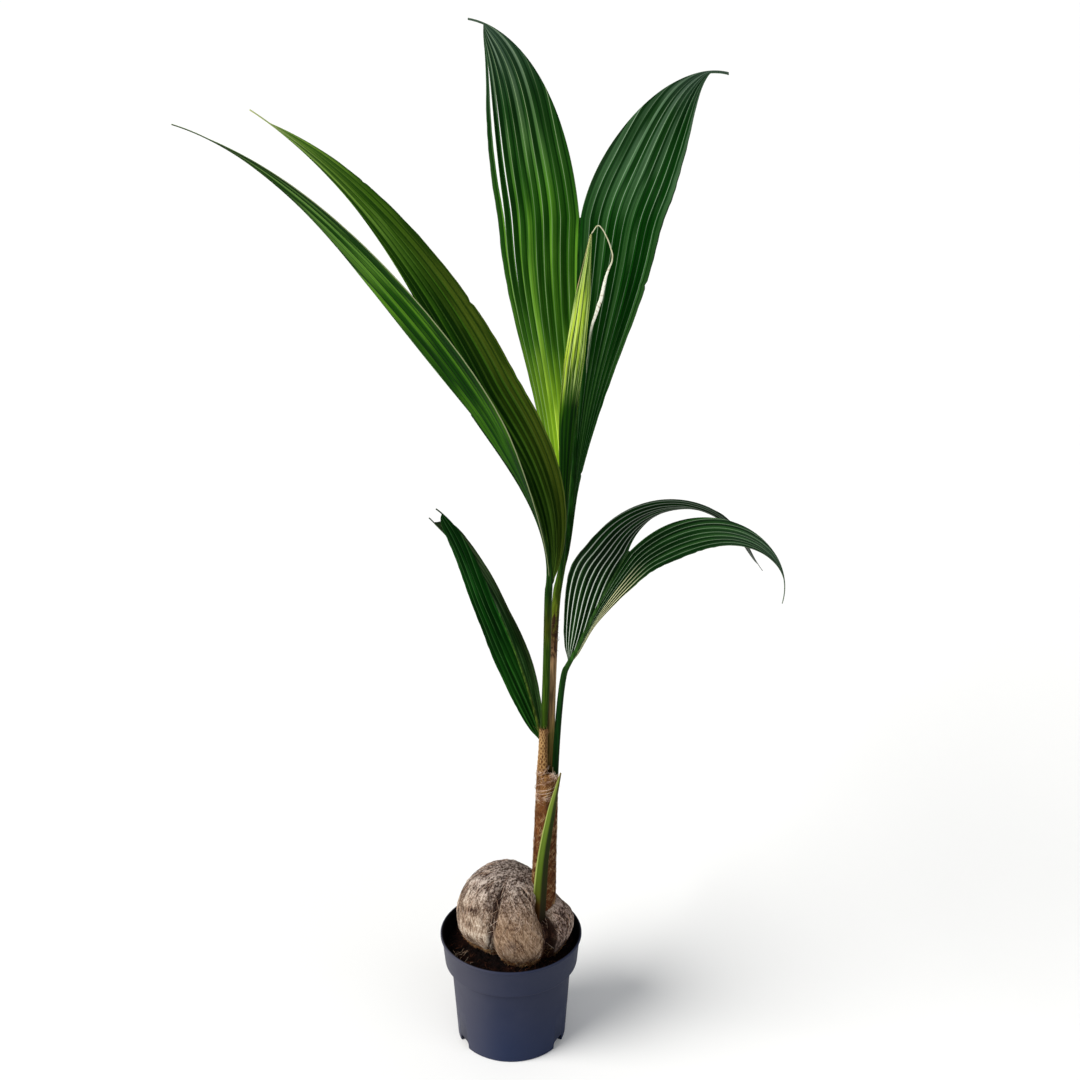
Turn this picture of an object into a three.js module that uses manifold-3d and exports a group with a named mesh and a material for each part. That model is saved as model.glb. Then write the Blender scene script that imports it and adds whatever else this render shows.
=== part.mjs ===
// A young coconut palm in a round nursery pot: the pot and its potting soil, a sprouting coconut
// half sunk in it, and a slender stem of wrapped leaf bases. The stem carries four two-lobed leaves,
// a scale leaf at its foot and an unopened spear leaf at its top.
// Millimetres, +Z up. The origin is the centre of the pot's flat underside, -Y is the front.
import * as THREE from 'three';
import { mergeVertices } from 'three/addons/utils/BufferGeometryUtils.js';
import Module from 'manifold-3d';

const wasm = await Module();
wasm.setup();

// ---- driving dimensions -------------------------------------------------------------------------

const CLEARANCE = 0.35; // gap left between two pieces that lie against each other

const POT = {
  height: 160,
  rimRadius: 95,
  rimHeight: 4, // the thicker lip at the very top
  bandRadius: 92.8, // top of the wide band under the lip
  bandFootRadius: 89.4,
  bandBottom: 117.5,
  shoulderRadius: 80.9, // top of the tapered body, under the band's ledge
  footRadius: 73.5,
  wall: 2.2,
  floor: 3,
  bevel: 1.5, // at the foot and under the band
  lipBevel: 0.6,
  sides: 40,
};

// Arched notches in the pot's foot, cut inwards from its rim by the inset; angles in degrees from -Y.
const DRAIN_HOLE = { width: 22, height: 13, inset: 8, angles: [-120, -60, 60, 120] };

const SOIL = { level: 138, mound: 10, rings: 5 };

// The husk is an ellipsoid with blunt ridges, grooves and a dent where the stem leaves it.
// Directions are azimuth from -Y towards +X and elevation, in degrees; heights and spreads follow.
const HUSK = {
  centre: [6, 0, 187],
  radii: [77, 73, 75],
  swellings: [
    { azimuth: -62, elevation: 14, height: 2.5, spread: 34 },
    { azimuth: 9, elevation: -2, height: 6, spread: 27 },
    { azimuth: 76, elevation: 6, height: 3, spread: 22 },
    { azimuth: 45, elevation: 28, height: -22, spread: 15 },
    { azimuth: 74, elevation: 44, height: -13, spread: 20 },
    { azimuth: 116, elevation: 33, height: -30, spread: 27 },
    { azimuth: 165, elevation: 57, height: -5, spread: 24 },
    { azimuth: 20, elevation: 74, height: -5, spread: 22 },
    { azimuth: -75, elevation: 46, height: 2.5, spread: 22 },
    { azimuth: -42, elevation: -36, height: -13, spread: 26 },
  ],
  grooves: [
    { azimuth: -25, depth: 7, spread: 6, from: -60, to: 66 },
    { azimuth: 38, depth: 12, spread: 7, from: -45, to: 40 },
    { azimuth: 155, depth: 5, spread: 9, from: -60, to: 60 },
  ],
  grooveFade: 15, // degrees over which a groove runs out, each way from its ends
  around: 38,
  rings: 26,
};

// The stem is a length of fibre-wrapped leaf bases, and above it a slimmer one round one stalk's foot.
const LOWER_SHEATH = {
  foot: [41.5, -19, 168],
  top: [48.8, -4, 404],
  halfWidths: [16, 15.8, 15, 14.2, 13.6], // evenly spaced from foot to top
  halfDepths: [14.5, 14, 13.5, 13, 12.5],
  sides: 20,
  steps: 14,
};

const UPPER_SHEATH = {
  foot: [42.2, -4.5, 404],
  top: [43.4, -2.6, 468],
  halfWidths: [6.9, 5.7, 5],
  halfDepths: [8, 7, 5.8],
  sides: 18,
  steps: 4,
};

const SCALE_LEAF = {
  path: [[36.5, -37, 200], [42.5, -30.5, 288], [54, -24.5, 360], [65.5, -20, 413]],
  halfWidths: [9, 8.6, 7, 5.2, 1],
  halfDepth: 2.4,
  thinning: 0.6, // share of its depth that it loses by its tip
  sides: 10,
  steps: 14,
};

// Each leaf has a stalk from a foot in the stem to its base, where the blades begin, and a midrib
// that goes on to the fork. Beyond the fork each blade reaches on alone to its own tip. A lean is
// degrees from +Z towards +X, a depth is degrees away from the front, a roll turns the blade about
// its own length. Their values are evenly spaced along the midrib, along the free part, and, for
// rolls, along the whole blade. The blade lies on the given side of its inner edge.
const LEAVES = {
  tall_leaf: {
    foot: [52.4, 2.4, 404],
    footLean: 0,
    base: [61.6, 16, 658],
    stalkRadii: [5, 5],
    stalkSteps: 12,
    midrib: { length: 453, leans: [12, 1, 3], depths: [6, 10] },
    blades: {
      left: {
        side: -1, reach: 288, leans: [-5.5, -17.5, -38.5, -83.5], depths: [10, 16, 28],
        rolls: [-57, -50, -20, -9], width: 107, rise: 0.94, fall: 0.6, tail: 5,
      },
      right: {
        side: 1, reach: 274, leans: [10.5, 34.5, 58.5, 107], depths: [10, 16, 28],
        rolls: [-32, -5, -33, -32], width: 107, rise: 2.9, fall: 1.22, tail: 7,
      },
    },
  },
  sweeping_leaf: {
    foot: [43.4, -2.6, 468],
    footLean: 4.5,
    base: [49.8, -10.4, 666],
    stalkRadii: [4.6, 4.6],
    stalkSteps: 10,
    midrib: { length: 266, leans: [5.5, -24.5, -30], depths: [-8, -14] },
    blades: {
      near: {
        side: 1, reach: 477, leans: [-34, -32, -39.5, -71.5], depths: [-16, -18, -8],
        rolls: [-107, -67, -56, -50], width: 98, rise: 1.56, fall: 1.68, tail: 3,
      },
      far: {
        side: 1, reach: 422, leans: [-23, -27, -39.5, -58.5], depths: [-4, 4, 8],
        rolls: [4, 29, 56, 45], width: 76, rise: 1.06, fall: 1.14, tail: 3,
      },
    },
  },
  arching_leaf: {
    foot: [58.4, -7.8, 404],
    footLean: 2,
    base: [71.5, -9, 556],
    stalkRadii: [4.2, 3.7],
    stalkSteps: 10,
    midrib: { length: 202, leans: [24.5, 20.5, 25.5], depths: [-10, -20] },
    blades: {
      back: {
        side: -1, reach: 243, leans: [15.5, 77, 139.5, 145], depths: [-6, 10, 14],
        rolls: [16, 5, 66, 79], width: 65, rise: 0.92, fall: 0.66, tail: 3, splitRow: 16,
      },
      front: {
        side: 1, reach: 275, leans: [33.5, 63.5, 119, 198.5], depths: [-24, -28, -18],
        rolls: [-20, -23, -28, -58], width: 42, rise: 2.34, fall: 1.7, tail: 3, splitRow: 17,
      },
    },
  },
  low_leaf: {
    foot: [43, 5, 404],
    footLean: 0,
    base: [42, 9, 436],
    stalkRadii: [3, 2.2],
    stalkSteps: 3,
    midrib: { length: 182, leans: [-10.5, -19, -25], depths: [14, 20] },
    blades: {
      near: {
        side: -1, reach: 159, leans: [-26.5, -27.5, -56.5], depths: [17, 13],
        rolls: [1, -17, -36, -25], width: 38, rise: 0.72, fall: 0.44, tail: 4,
      },
      far: {
        side: 1, reach: 158, leans: [-25, -44, -52.5], depths: [28, 28],
        rolls: [40, 68, 90, 76], width: 56, rise: 1.02, fall: 0.28, tail: 4,
      },
    },
  },
};

const BLADE = {
  thicknessShare: 0.01, // thickness at mid blade, as a share of the blade's length
  edgeShare: 0.35, // thickness at the margins, as a share of that
  bow: 0.06, // how far the blade bows out of flat, as a share of its width
  pleatShare: 0.012, // height of the pleats, as a share of the blade's width at its widest
  footWidth: 6,
  tailAt: 0.97, // where the blade has narrowed to its thread-like tail
  ease: 0.15, // length over which the blade turns from the midrib's direction to its own
  parting: 0.3, // share of the free part over which the blade's inner edge closes up to its line
  midribSteps: 10,
  freeSteps: 16,
  columns: 8,
  leastThickness: 0.9,
  slimBelow: 20, // width under which the blade's thickness and pleats shrink with it
  tailTaper: 0.7, // share of its width that the tail loses by its end
};

const STALK_PULL = { foot: 0.33, base: 0.1 }; // shares of its span over which a stalk keeps its end directions
const STALK_SIDES = 10;
const MIDRIB_TIP_RADIUS = 1.1;

const SPEAR = {
  path: [[64.9, 8.4, 655], [68.5, 10.5, 790], [73, 12, 890], [83.5, 12, 985], [97.5, 12, 1099]],
  halfWidths: [3.4, 4.2, 6.5, 10.5, 11.8, 9, 1.1],
  halfDepths: [2.6, 2.8, 3.4, 4.2, 4.4, 3.6, 1.1],
  sides: 12,
  steps: 24,
};

const DRIED_THREAD = {
  path: [
    [98, 12, 1099.9], [107, 10, 1109], [120, 10, 1085], [121.8, 10, 1070], [115, 10, 1049],
    [109, 10, 1022], [101.5, 10, 998], [96.5, 10.5, 972], [93.5, 11, 935],
  ],
  halfWidths: [1.2, 1.2, 1.4, 2.4, 2.6, 1.8, 1.2, 1.2],
  halfDepth: 1,
  sides: 6,
  steps: 22,
};

// ---- colours --------------------------------------------------------------------------------------

const COLOURS = {
  pot: { color: 0x3a3f4c, roughness: 0.7 },
  soil: { color: 0x1c130e, roughness: 0.98 },
  husk: { color: 0x8f8175, roughness: 0.95 },
  fibre: { color: 0x7d5230, roughness: 0.92 },
  stalk: { color: 0x3f6420, roughness: 0.5 },
  blade: { color: 0x1d5418, roughness: 0.45 },
  spear: { color: 0x9ac23c, roughness: 0.5 },
  dry: { color: 0xc9b48c, roughness: 0.9 },
};

// ---- helpers --------------------------------------------------------------------------------------

const radians = THREE.MathUtils.degToRad;
const lerp = THREE.MathUtils.lerp;

// The value at share u of the smooth curve through evenly spaced values.
function along(values, u) {
  const last = values.length - 1;
  let total = 0;
  values.forEach((value, i) => {
    let weight = 1;
    for (let j = 0; j <= last; j += 1) {
      if (j !== i) weight *= (u * last - j) / (i - j);
    }
    total += value * weight;
  });
  return total;
}

// The value at share u of straight lines between evenly spaced values.
function stepped(values, u) {
  const place = Math.min(u, 0.999999) * (values.length - 1);
  const i = Math.floor(place);
  return lerp(values[i], values[i + 1], place - i);
}

// The way ahead for a lean and a depth.
function heading(lean, depth) {
  const a = radians(lean);
  const d = radians(depth);
  return new THREE.Vector3(Math.sin(a) * Math.cos(d), Math.sin(d), Math.cos(a) * Math.cos(d));
}

// The way across a blade: square to its heading, turned by the roll.
function crossing(lean, depth, roll) {
  const level = new THREE.Vector3(Math.cos(radians(lean)), 0, -Math.sin(radians(lean)));
  const back = heading(lean, depth + 90);
  return level.multiplyScalar(Math.cos(radians(roll))).addScaledVector(back, Math.sin(radians(roll)));
}

// Points of a path that starts at a point and follows leans and depths for a length.
function follow(start, { leans, depths, length }, steps) {
  const points = [start.clone()];
  for (let i = 0; i < steps; i += 1) {
    const u = (i + 0.5) / steps;
    const ahead = heading(along(leans, u), along(depths, u));
    points.push(points[i].clone().addScaledVector(ahead, length / steps));
  }
  return points;
}

// A closed solid from vertices and triangles.
function solidFrom(points, triangles) {
  const geometry = new THREE.BufferGeometry();
  geometry.setAttribute('position', new THREE.Float32BufferAttribute(points.flatMap((p) => p.toArray()), 3));
  geometry.setIndex(triangles.flat());
  return solidOf(geometry);
}

// A closed solid from a three.js geometry.
function solidOf(geometry) {
  const bare = new THREE.BufferGeometry();
  bare.setAttribute('position', geometry.getAttribute('position'));
  if (geometry.index) bare.setIndex(geometry.index);
  const merged = mergeVertices(bare, 1e-4);
  const mesh = new wasm.Mesh({
    numProp: 3,
    vertProperties: new Float32Array(merged.getAttribute('position').array),
    triVerts: new Uint32Array(merged.index.array),
  });
  return new wasm.Manifold(mesh);
}

// The largest body of a solid, without the scraps that cutting leaves.
function largest(solid) {
  return solid.decompose().reduce((best, piece) => (piece.volume() > best.volume() ? piece : best));
}

// A solid with others cut out of it, as one body.
function without(solid, cutters) {
  return largest(cutters.reduce((rest, cutter) => rest.subtract(cutter), solid));
}

function geometryOf(solid) {
  const mesh = solid.getMesh();
  const geometry = new THREE.BufferGeometry();
  geometry.setAttribute('position', new THREE.Float32BufferAttribute(mesh.vertProperties, mesh.numProp));
  geometry.setIndex(new THREE.Uint32BufferAttribute(mesh.triVerts, 1));
  geometry.computeVertexNormals();
  return geometry;
}

// Triangles between rings of equally many points, with a fan over each end ring.
function ringTriangles(rings, sides) {
  const triangles = [];
  for (let i = 0; i + 1 < rings; i += 1) {
    for (let j = 0; j < sides; j += 1) {
      const a = i * sides + j;
      const b = i * sides + ((j + 1) % sides);
      triangles.push([a, b, b + sides], [a, b + sides, a + sides]);
    }
  }
  const footCentre = rings * sides;
  for (let j = 0; j < sides; j += 1) {
    const next = (j + 1) % sides;
    triangles.push([footCentre, next, j]);
    triangles.push([footCentre + 1, footCentre - sides + j, footCentre - sides + next]);
  }
  return triangles;
}

// A limb: elliptical rings along a path, halfWidth wide to each side along X and halfDepth along Y,
// both functions of the share u. It is grown all round by grow, and its ends are level or square.
function limb(path, halfWidth, halfDepth, sides, { grow = 0, levelEnds = false } = {}) {
  const points = [];
  const last = path.length - 1;
  path.forEach((centre, i) => {
    const ahead = path[Math.min(i + 1, last)].clone().sub(path[Math.max(i - 1, 0)]).normalize();
    if (levelEnds && (i === 0 || i === last)) ahead.set(0, 0, 1);
    if (i === 0) centre.addScaledVector(ahead, -grow);
    if (i === last) centre.addScaledVector(ahead, grow);
    const back = new THREE.Vector3(0, 1, 0).addScaledVector(ahead, -ahead.y).normalize();
    const right = back.clone().cross(ahead);
    for (let j = 0; j < sides; j += 1) {
      const turn = (2 * Math.PI * j) / sides;
      points.push(centre.clone()
        .addScaledVector(right, (halfWidth(i / last) + grow) * Math.cos(turn))
        .addScaledVector(back, (halfDepth(i / last) + grow) * Math.sin(turn)));
    }
  });
  points.push(path[0].clone(), path[last].clone());
  return solidFrom(points, ringTriangles(path.length, sides));
}

// Evenly spread points of a smooth curve through a few points.
function smoothPath(corners, steps) {
  return new THREE.CatmullRomCurve3(corners.map((c) => new THREE.Vector3(...c))).getSpacedPoints(steps);
}

// ---- pot and soil ---------------------------------------------------------------------------------

function lathe(profile) {
  const turned = new THREE.LatheGeometry(profile.map(([r, z]) => new THREE.Vector2(r, z)), POT.sides);
  return turned.rotateX(Math.PI / 2);
}

function drainHole(angle) {
  const { width, height, inset } = DRAIN_HOLE;
  const arch = new THREE.Shape();
  arch.moveTo(-width / 2, -1);
  arch.lineTo(width / 2, -1);
  arch.lineTo(width / 2, height / 2);
  arch.quadraticCurveTo(width / 2, height, 0, height);
  arch.quadraticCurveTo(-width / 2, height, -width / 2, height / 2);
  const cutter = new THREE.ExtrudeGeometry(arch, { depth: 3 * inset, bevelEnabled: false, curveSegments: 4 });
  cutter.rotateX(Math.PI / 2);
  cutter.translate(0, -(POT.footRadius - inset), 0);
  cutter.rotateZ(radians(angle));
  return solidOf(cutter);
}

function makePot() {
  const { height, rimRadius, rimHeight, bandRadius, bandFootRadius, bandBottom } = POT;
  const { shoulderRadius, footRadius, wall, floor, bevel, lipBevel } = POT;
  const lipFoot = height - rimHeight;
  const outside = [
    [0, 0], [footRadius - bevel, 0], [footRadius, bevel], [shoulderRadius, bandBottom - bevel],
    [shoulderRadius + bevel, bandBottom], [bandFootRadius, bandBottom], [bandRadius, lipFoot],
    [rimRadius, lipFoot + lipBevel], [rimRadius, height - lipBevel], [rimRadius - lipBevel, height],
  ];
  const inside = [
    [bandRadius - lipBevel, height], [bandRadius - wall, lipFoot],
    [bandFootRadius - wall, bandBottom + wall], [shoulderRadius - wall, bandBottom + wall],
    [footRadius - wall, floor], [0, floor],
  ];
  return without(solidOf(lathe([...outside, ...inside])), DRAIN_HOLE.angles.map(drainHole));
}

// The soil fills the pot up to its level and rises a little towards the middle.
function makeSoil(cutters) {
  const { level, mound, rings } = SOIL;
  const { bandFootRadius, bandBottom, shoulderRadius, footRadius, wall, floor } = POT;
  const gap = wall + CLEARANCE;
  const ledge = bandBottom + gap;
  const edge = bandFootRadius - gap;
  const surface = [];
  for (let i = 0; i <= rings; i += 1) {
    const share = i / rings;
    surface.push([edge * (1 - share), level + mound * Math.sin((Math.PI / 2) * share)]);
  }
  const profile = [
    [0, floor + CLEARANCE], [footRadius - gap, floor + CLEARANCE],
    [shoulderRadius - gap, ledge], [edge, ledge], ...surface,
  ];
  return without(solidOf(lathe(profile)), cutters);
}

// ---- coconut husk ---------------------------------------------------------------------------------

// Radial height that the husk's ridges, grooves and dent add in one direction, in degrees.
function huskRelief(azimuth, elevation) {
  let relief = 0;
  HUSK.swellings.forEach((s) => {
    const turned = Math.cos(radians(azimuth - s.azimuth)) * Math.cos(radians(elevation))
      * Math.cos(radians(s.elevation)) + Math.sin(radians(elevation)) * Math.sin(radians(s.elevation));
    const distance = THREE.MathUtils.radToDeg(Math.acos(THREE.MathUtils.clamp(turned, -1, 1)));
    relief += s.height * Math.exp(-((distance / s.spread) ** 2));
  });
  HUSK.grooves.forEach((g) => {
    const offset = ((azimuth - g.azimuth + 540) % 360) - 180;
    const sideways = offset * Math.cos(radians(elevation));
    const fade = THREE.MathUtils.smoothstep(elevation, g.from - HUSK.grooveFade, g.from + HUSK.grooveFade)
      * (1 - THREE.MathUtils.smoothstep(elevation, g.to - HUSK.grooveFade, g.to + HUSK.grooveFade));
    const facing = Math.abs(offset) < 90 ? 1 : 0;
    relief -= g.depth * fade * facing * Math.exp(-((sideways / g.spread) ** 2));
  });
  return relief;
}

function huskBody(grow = 0) {
  const ball = new THREE.SphereGeometry(1, HUSK.around, HUSK.rings).rotateX(Math.PI / 2);
  const position = ball.getAttribute('position');
  const point = new THREE.Vector3();
  const centre = new THREE.Vector3(...HUSK.centre);
  const radii = new THREE.Vector3(...HUSK.radii);
  for (let i = 0; i < position.count; i += 1) {
    point.fromBufferAttribute(position, i).normalize();
    const azimuth = THREE.MathUtils.radToDeg(Math.atan2(point.x, -point.y));
    const elevation = THREE.MathUtils.radToDeg(Math.asin(THREE.MathUtils.clamp(point.z, -1, 1)));
    const outward = point.clone();
    point.multiply(radii).addScaledVector(outward, huskRelief(azimuth, elevation) + grow).add(centre);
    position.setXYZ(i, point.x, point.y, point.z);
  }
  return solidOf(ball);
}

// ---- stem -------------------------------------------------------------------------------------------

function sheath({ foot, top, halfWidths, halfDepths, sides, steps }, grow = 0) {
  const line = new THREE.LineCurve3(new THREE.Vector3(...foot), new THREE.Vector3(...top));
  const path = line.getPoints(steps);
  path[0].z += CLEARANCE;
  const widthAt = (u) => stepped(halfWidths, u);
  const depthAt = (u) => stepped(halfDepths, u);
  return limb(path, widthAt, depthAt, sides, { grow, levelEnds: true });
}

// A flat spike that lies against the front of the stem.
function scaleLeaf(grow = 0) {
  const { path, halfWidths, halfDepth, thinning, sides, steps } = SCALE_LEAF;
  const depthAt = (u) => halfDepth * (1 - thinning * u);
  return limb(smoothPath(path, steps), (u) => stepped(halfWidths, u), depthAt, sides, { grow });
}

// ---- leaves -----------------------------------------------------------------------------------------

// The stalk's smooth curve from its foot, where it rises at the foot's lean, to the leaf's base.
function stalkPath(leaf, steps) {
  const foot = new THREE.Vector3(...leaf.foot);
  const base = new THREE.Vector3(...leaf.base);
  const span = foot.distanceTo(base);
  const ahead = heading(leaf.midrib.leans[0], leaf.midrib.depths[0]);
  foot.z += CLEARANCE;
  const rising = foot.clone().addScaledVector(heading(leaf.footLean, 0), span * STALK_PULL.foot);
  const arriving = base.clone().addScaledVector(ahead, -span * STALK_PULL.base);
  return new THREE.CubicBezierCurve3(foot, rising, arriving, base).getSpacedPoints(steps);
}

// The stalk and midrib as one tapering limb, from its foot to the fork.
function stalk(leaf, grow = 0) {
  const steps = leaf.stalkSteps;
  const below = stalkPath(leaf, steps);
  const above = follow(new THREE.Vector3(...leaf.base), leaf.midrib, BLADE.midribSteps);
  const path = [...below, ...above.slice(1)];
  const last = path.length - 1;
  const [footRadius, baseRadius] = leaf.stalkRadii;
  const radius = (u) => {
    const i = u * last;
    if (i <= steps) return lerp(footRadius, baseRadius, i / steps);
    return lerp(baseRadius, MIDRIB_TIP_RADIUS, (i - steps) / (last - steps));
  };
  return limb(path, radius, radius, STALK_SIDES, { grow });
}

// Inner edge, directions and share of the length at each row of a blade.
function bladeRows(leaf, blade) {
  const { midribSteps, freeSteps, ease, parting } = BLADE;
  const { midrib } = leaf;
  const inner = follow(new THREE.Vector3(...leaf.base), midrib, midribSteps);
  inner.push(...follow(inner[midribSteps], { ...blade, length: blade.reach }, freeSteps).slice(1));
  const fork = midrib.length / (midrib.length + blade.reach);
  return inner.map((edge, i) => {
    const beyond = Math.max((i - midribSteps) / freeSteps, 0);
    const before = Math.min(i / midribSteps, 1);
    const u = fork * before + (1 - fork) * beyond;
    const turn = THREE.MathUtils.smoothstep(u, fork - ease, fork + ease);
    const lean = lerp(along(midrib.leans, before), along(blade.leans, beyond), turn);
    const depth = lerp(along(midrib.depths, before), along(blade.depths, beyond), turn);
    const ahead = heading(lean, depth);
    const across = crossing(lean, depth, along(blade.rolls, u)).multiplyScalar(blade.side);
    const midribRadius = lerp(leaf.stalkRadii[1], MIDRIB_TIP_RADIUS, before);
    const inset = (midribRadius + CLEARANCE) * (1 - THREE.MathUtils.smoothstep(beyond, 0, parting));
    return { edge, ahead, across, normal: ahead.clone().cross(across), inset, u };
  });
}

// Width of a blade at share u: it swells as a power curve and ends in a narrow tail.
function bladeWidth({ width, rise, fall, tail }, u) {
  const b = Math.min(u / BLADE.tailAt, 1);
  const peak = rise / (rise + fall);
  const shape = (b ** rise * (1 - b) ** fall) / (peak ** rise * (1 - peak) ** fall);
  const least = u < 0.5 ? BLADE.footWidth : tail * (1 - BLADE.tailTaper * u);
  return Math.max(width * shape, least);
}

// One half of a leaf, or the stretch of it between two rows, as a thin pleated solid.
function bladeSolid(leaf, blade, firstRow = 0, lastRow = BLADE.midribSteps + BLADE.freeSteps) {
  const { columns, bow, pleatShare, thicknessShare, edgeShare, leastThickness, slimBelow } = BLADE;
  const thickness = (leaf.midrib.length + blade.reach) * thicknessShare;
  const rows = bladeRows(leaf, blade).slice(firstRow, lastRow + 1);
  if (firstRow > 0) rows[0].edge.addScaledVector(rows[0].ahead, CLEARANCE);
  const upper = [];
  const lower = [];
  rows.forEach(({ edge, across, normal, inset, u }) => {
    const width = Math.max(bladeWidth(blade, u) - inset, blade.tail / 2);
    const slimming = Math.min(1, width / slimBelow);
    for (let c = 0; c <= columns; c += 1) {
      const v = c / columns;
      const pleat = (c % 2) * pleatShare * blade.width * slimming;
      const fullness = edgeShare + (1 - edgeShare) * Math.sin(Math.PI * v);
      const half = Math.max(thickness * fullness * slimming, leastThickness) / 2;
      const middle = edge.clone()
        .addScaledVector(across, inset + v * width)
        .addScaledVector(normal, 4 * bow * v * (1 - v) * width + pleat);
      upper.push(middle.clone().addScaledVector(normal, half));
      lower.push(middle.addScaledVector(normal, -half));
    }
  });
  return solidFrom([...upper, ...lower], sheetTriangles(rows.length, columns + 1));
}

// Triangles of a closed sheet whose upper and lower faces are grids of points, one after the other.
function sheetTriangles(rows, perRow) {
  const triangles = [];
  const quad = (a, b, c, d) => triangles.push([a, b, c], [a, c, d]);
  const under = rows * perRow;
  for (let i = 0; i + 1 < rows; i += 1) {
    for (let c = 0; c + 1 < perRow; c += 1) {
      const k = i * perRow + c;
      quad(k, k + perRow, k + perRow + 1, k + 1);
      quad(under + k, under + k + 1, under + k + perRow + 1, under + k + perRow);
    }
    const inside = i * perRow;
    const outside = inside + perRow - 1;
    quad(inside, under + inside, under + inside + perRow, inside + perRow);
    quad(outside, outside + perRow, under + outside + perRow, under + outside);
  }
  const end = (rows - 1) * perRow;
  for (let c = 0; c + 1 < perRow; c += 1) {
    quad(c, c + 1, under + c + 1, under + c);
    quad(end + c, under + end + c, under + end + c + 1, end + c + 1);
  }
  return triangles;
}

function spear() {
  const { path, halfWidths, halfDepths, sides, steps } = SPEAR;
  return limb(smoothPath(path, steps), (u) => stepped(halfWidths, u), (u) => stepped(halfDepths, u), sides);
}

function driedThread() {
  const { path, halfWidths, halfDepth, sides, steps } = DRIED_THREAD;
  return limb(smoothPath(path, steps), (u) => stepped(halfWidths, u), () => halfDepth, sides);
}

// ---- assembly ---------------------------------------------------------------------------------------

const plant = new THREE.Group();

function add(name, solid, { color, roughness }) {
  const material = new THREE.MeshStandardMaterial({ color, roughness, metalness: 0 });
  const mesh = new THREE.Mesh(geometryOf(solid), material);
  mesh.name = name;
  plant.add(mesh);
}

const stalkSpaces = Object.values(LEAVES).map((leaf) => stalk(leaf, CLEARANCE));

add('pot', makePot(), COLOURS.pot);
add('soil', makeSoil([huskBody(CLEARANCE)]), COLOURS.soil);
add('coconut_husk', without(huskBody(), [sheath(LOWER_SHEATH, CLEARANCE), scaleLeaf(CLEARANCE)]), COLOURS.husk);
add('lower_sheath', sheath(LOWER_SHEATH), COLOURS.fibre);
add('upper_sheath', without(sheath(UPPER_SHEATH), stalkSpaces), COLOURS.fibre);
add('scale_leaf', without(scaleLeaf(), [sheath(LOWER_SHEATH, CLEARANCE)]), COLOURS.stalk);

Object.entries(LEAVES).forEach(([leafName, leaf]) => {
  add(`${leafName}_stalk`, stalk(leaf), COLOURS.stalk);
  Object.entries(leaf.blades).forEach(([bladeName, blade]) => {
    const name = `${leafName}_${bladeName}`;
    if (blade.splitRow === undefined) {
      add(`${name}_blade`, bladeSolid(leaf, blade), COLOURS.blade);
    } else {
      add(`${name}_blade`, bladeSolid(leaf, blade, 0, blade.splitRow), COLOURS.blade);
      add(`${name}_tip`, bladeSolid(leaf, blade, blade.splitRow), COLOURS.blade);
    }
  });
});

add('spear_leaf', spear(), COLOURS.spear);
add('dried_thread', driedThread(), COLOURS.dry);

export default plant;
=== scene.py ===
import math

import bpy
import numpy as np
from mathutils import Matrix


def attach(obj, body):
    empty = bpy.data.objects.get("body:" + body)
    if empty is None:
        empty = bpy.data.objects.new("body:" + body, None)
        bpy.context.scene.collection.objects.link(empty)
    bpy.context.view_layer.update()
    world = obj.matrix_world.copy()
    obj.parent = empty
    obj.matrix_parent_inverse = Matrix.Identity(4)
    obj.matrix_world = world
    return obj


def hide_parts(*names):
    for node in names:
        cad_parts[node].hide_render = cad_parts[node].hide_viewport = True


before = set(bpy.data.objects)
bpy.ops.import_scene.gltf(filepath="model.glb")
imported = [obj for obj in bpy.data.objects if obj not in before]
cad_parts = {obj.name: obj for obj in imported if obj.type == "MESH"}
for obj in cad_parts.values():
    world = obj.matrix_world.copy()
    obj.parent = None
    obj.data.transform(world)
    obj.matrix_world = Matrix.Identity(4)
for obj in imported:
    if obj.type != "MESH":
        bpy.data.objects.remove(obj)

# A young coconut palm in a nursery pot. Shapes are worked out in millimetres and turned to metres
# as each mesh is made. +Z is up, -Y is the front, the origin is under the middle of the pot.
mm = 0.001
frontTurn = 1.5 * math.pi  # where the front lies on a tube's ring, counted from +X
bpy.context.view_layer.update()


def smoothStep(x):
    # 0 below 0, 1 above 1, 3x^2 - 2x^3 between
    x = np.clip(x, 0, 1)
    return x * x * (3 - 2 * x)


def mix(a, b, share):
    # a at share 0, b at share 1
    return a + (b - a) * share


def rise(low, high, x):
    # climbs smoothly from 0 at low to 1 at high
    return smoothStep((x - low) / (high - low))


def along(values, u):
    # the smooth polynomial through evenly spaced values, read at share u
    last = len(values) - 1
    total = np.zeros_like(u)
    for i in range(last + 1):
        weight = np.ones_like(u)
        for j in range(last + 1):
            if j != i:
                weight = weight * (u * last - j) / (i - j)
        total = total + values[i] * weight
    return total


def stepped(values, u):
    # straight lines between evenly spaced values, read at share u
    return np.interp(u, np.linspace(0, 1, len(values)), values)


def softNoise(x, y, seed, aroundX=64):
    # random heights from -1 to 1 on a square lattice, joined by smooth steps; repeats after aroundX cells
    table = np.random.default_rng(seed).uniform(-1, 1, (64, 64))
    i, j = np.floor(x).astype(int), np.floor(y).astype(int)
    fx, fy = smoothStep(x - i), smoothStep(y - j)
    left, right = i % aroundX, (i + 1) % aroundX
    low = mix(table[left, j % 64], table[right, j % 64], fx)
    high = mix(table[left, (j + 1) % 64], table[right, (j + 1) % 64], fx)
    return mix(low, high, fy)


def unit(vectors):
    # each vector at length 1
    return vectors / np.maximum(np.linalg.norm(vectors, axis=-1, keepdims=True), 1e-12)


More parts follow.
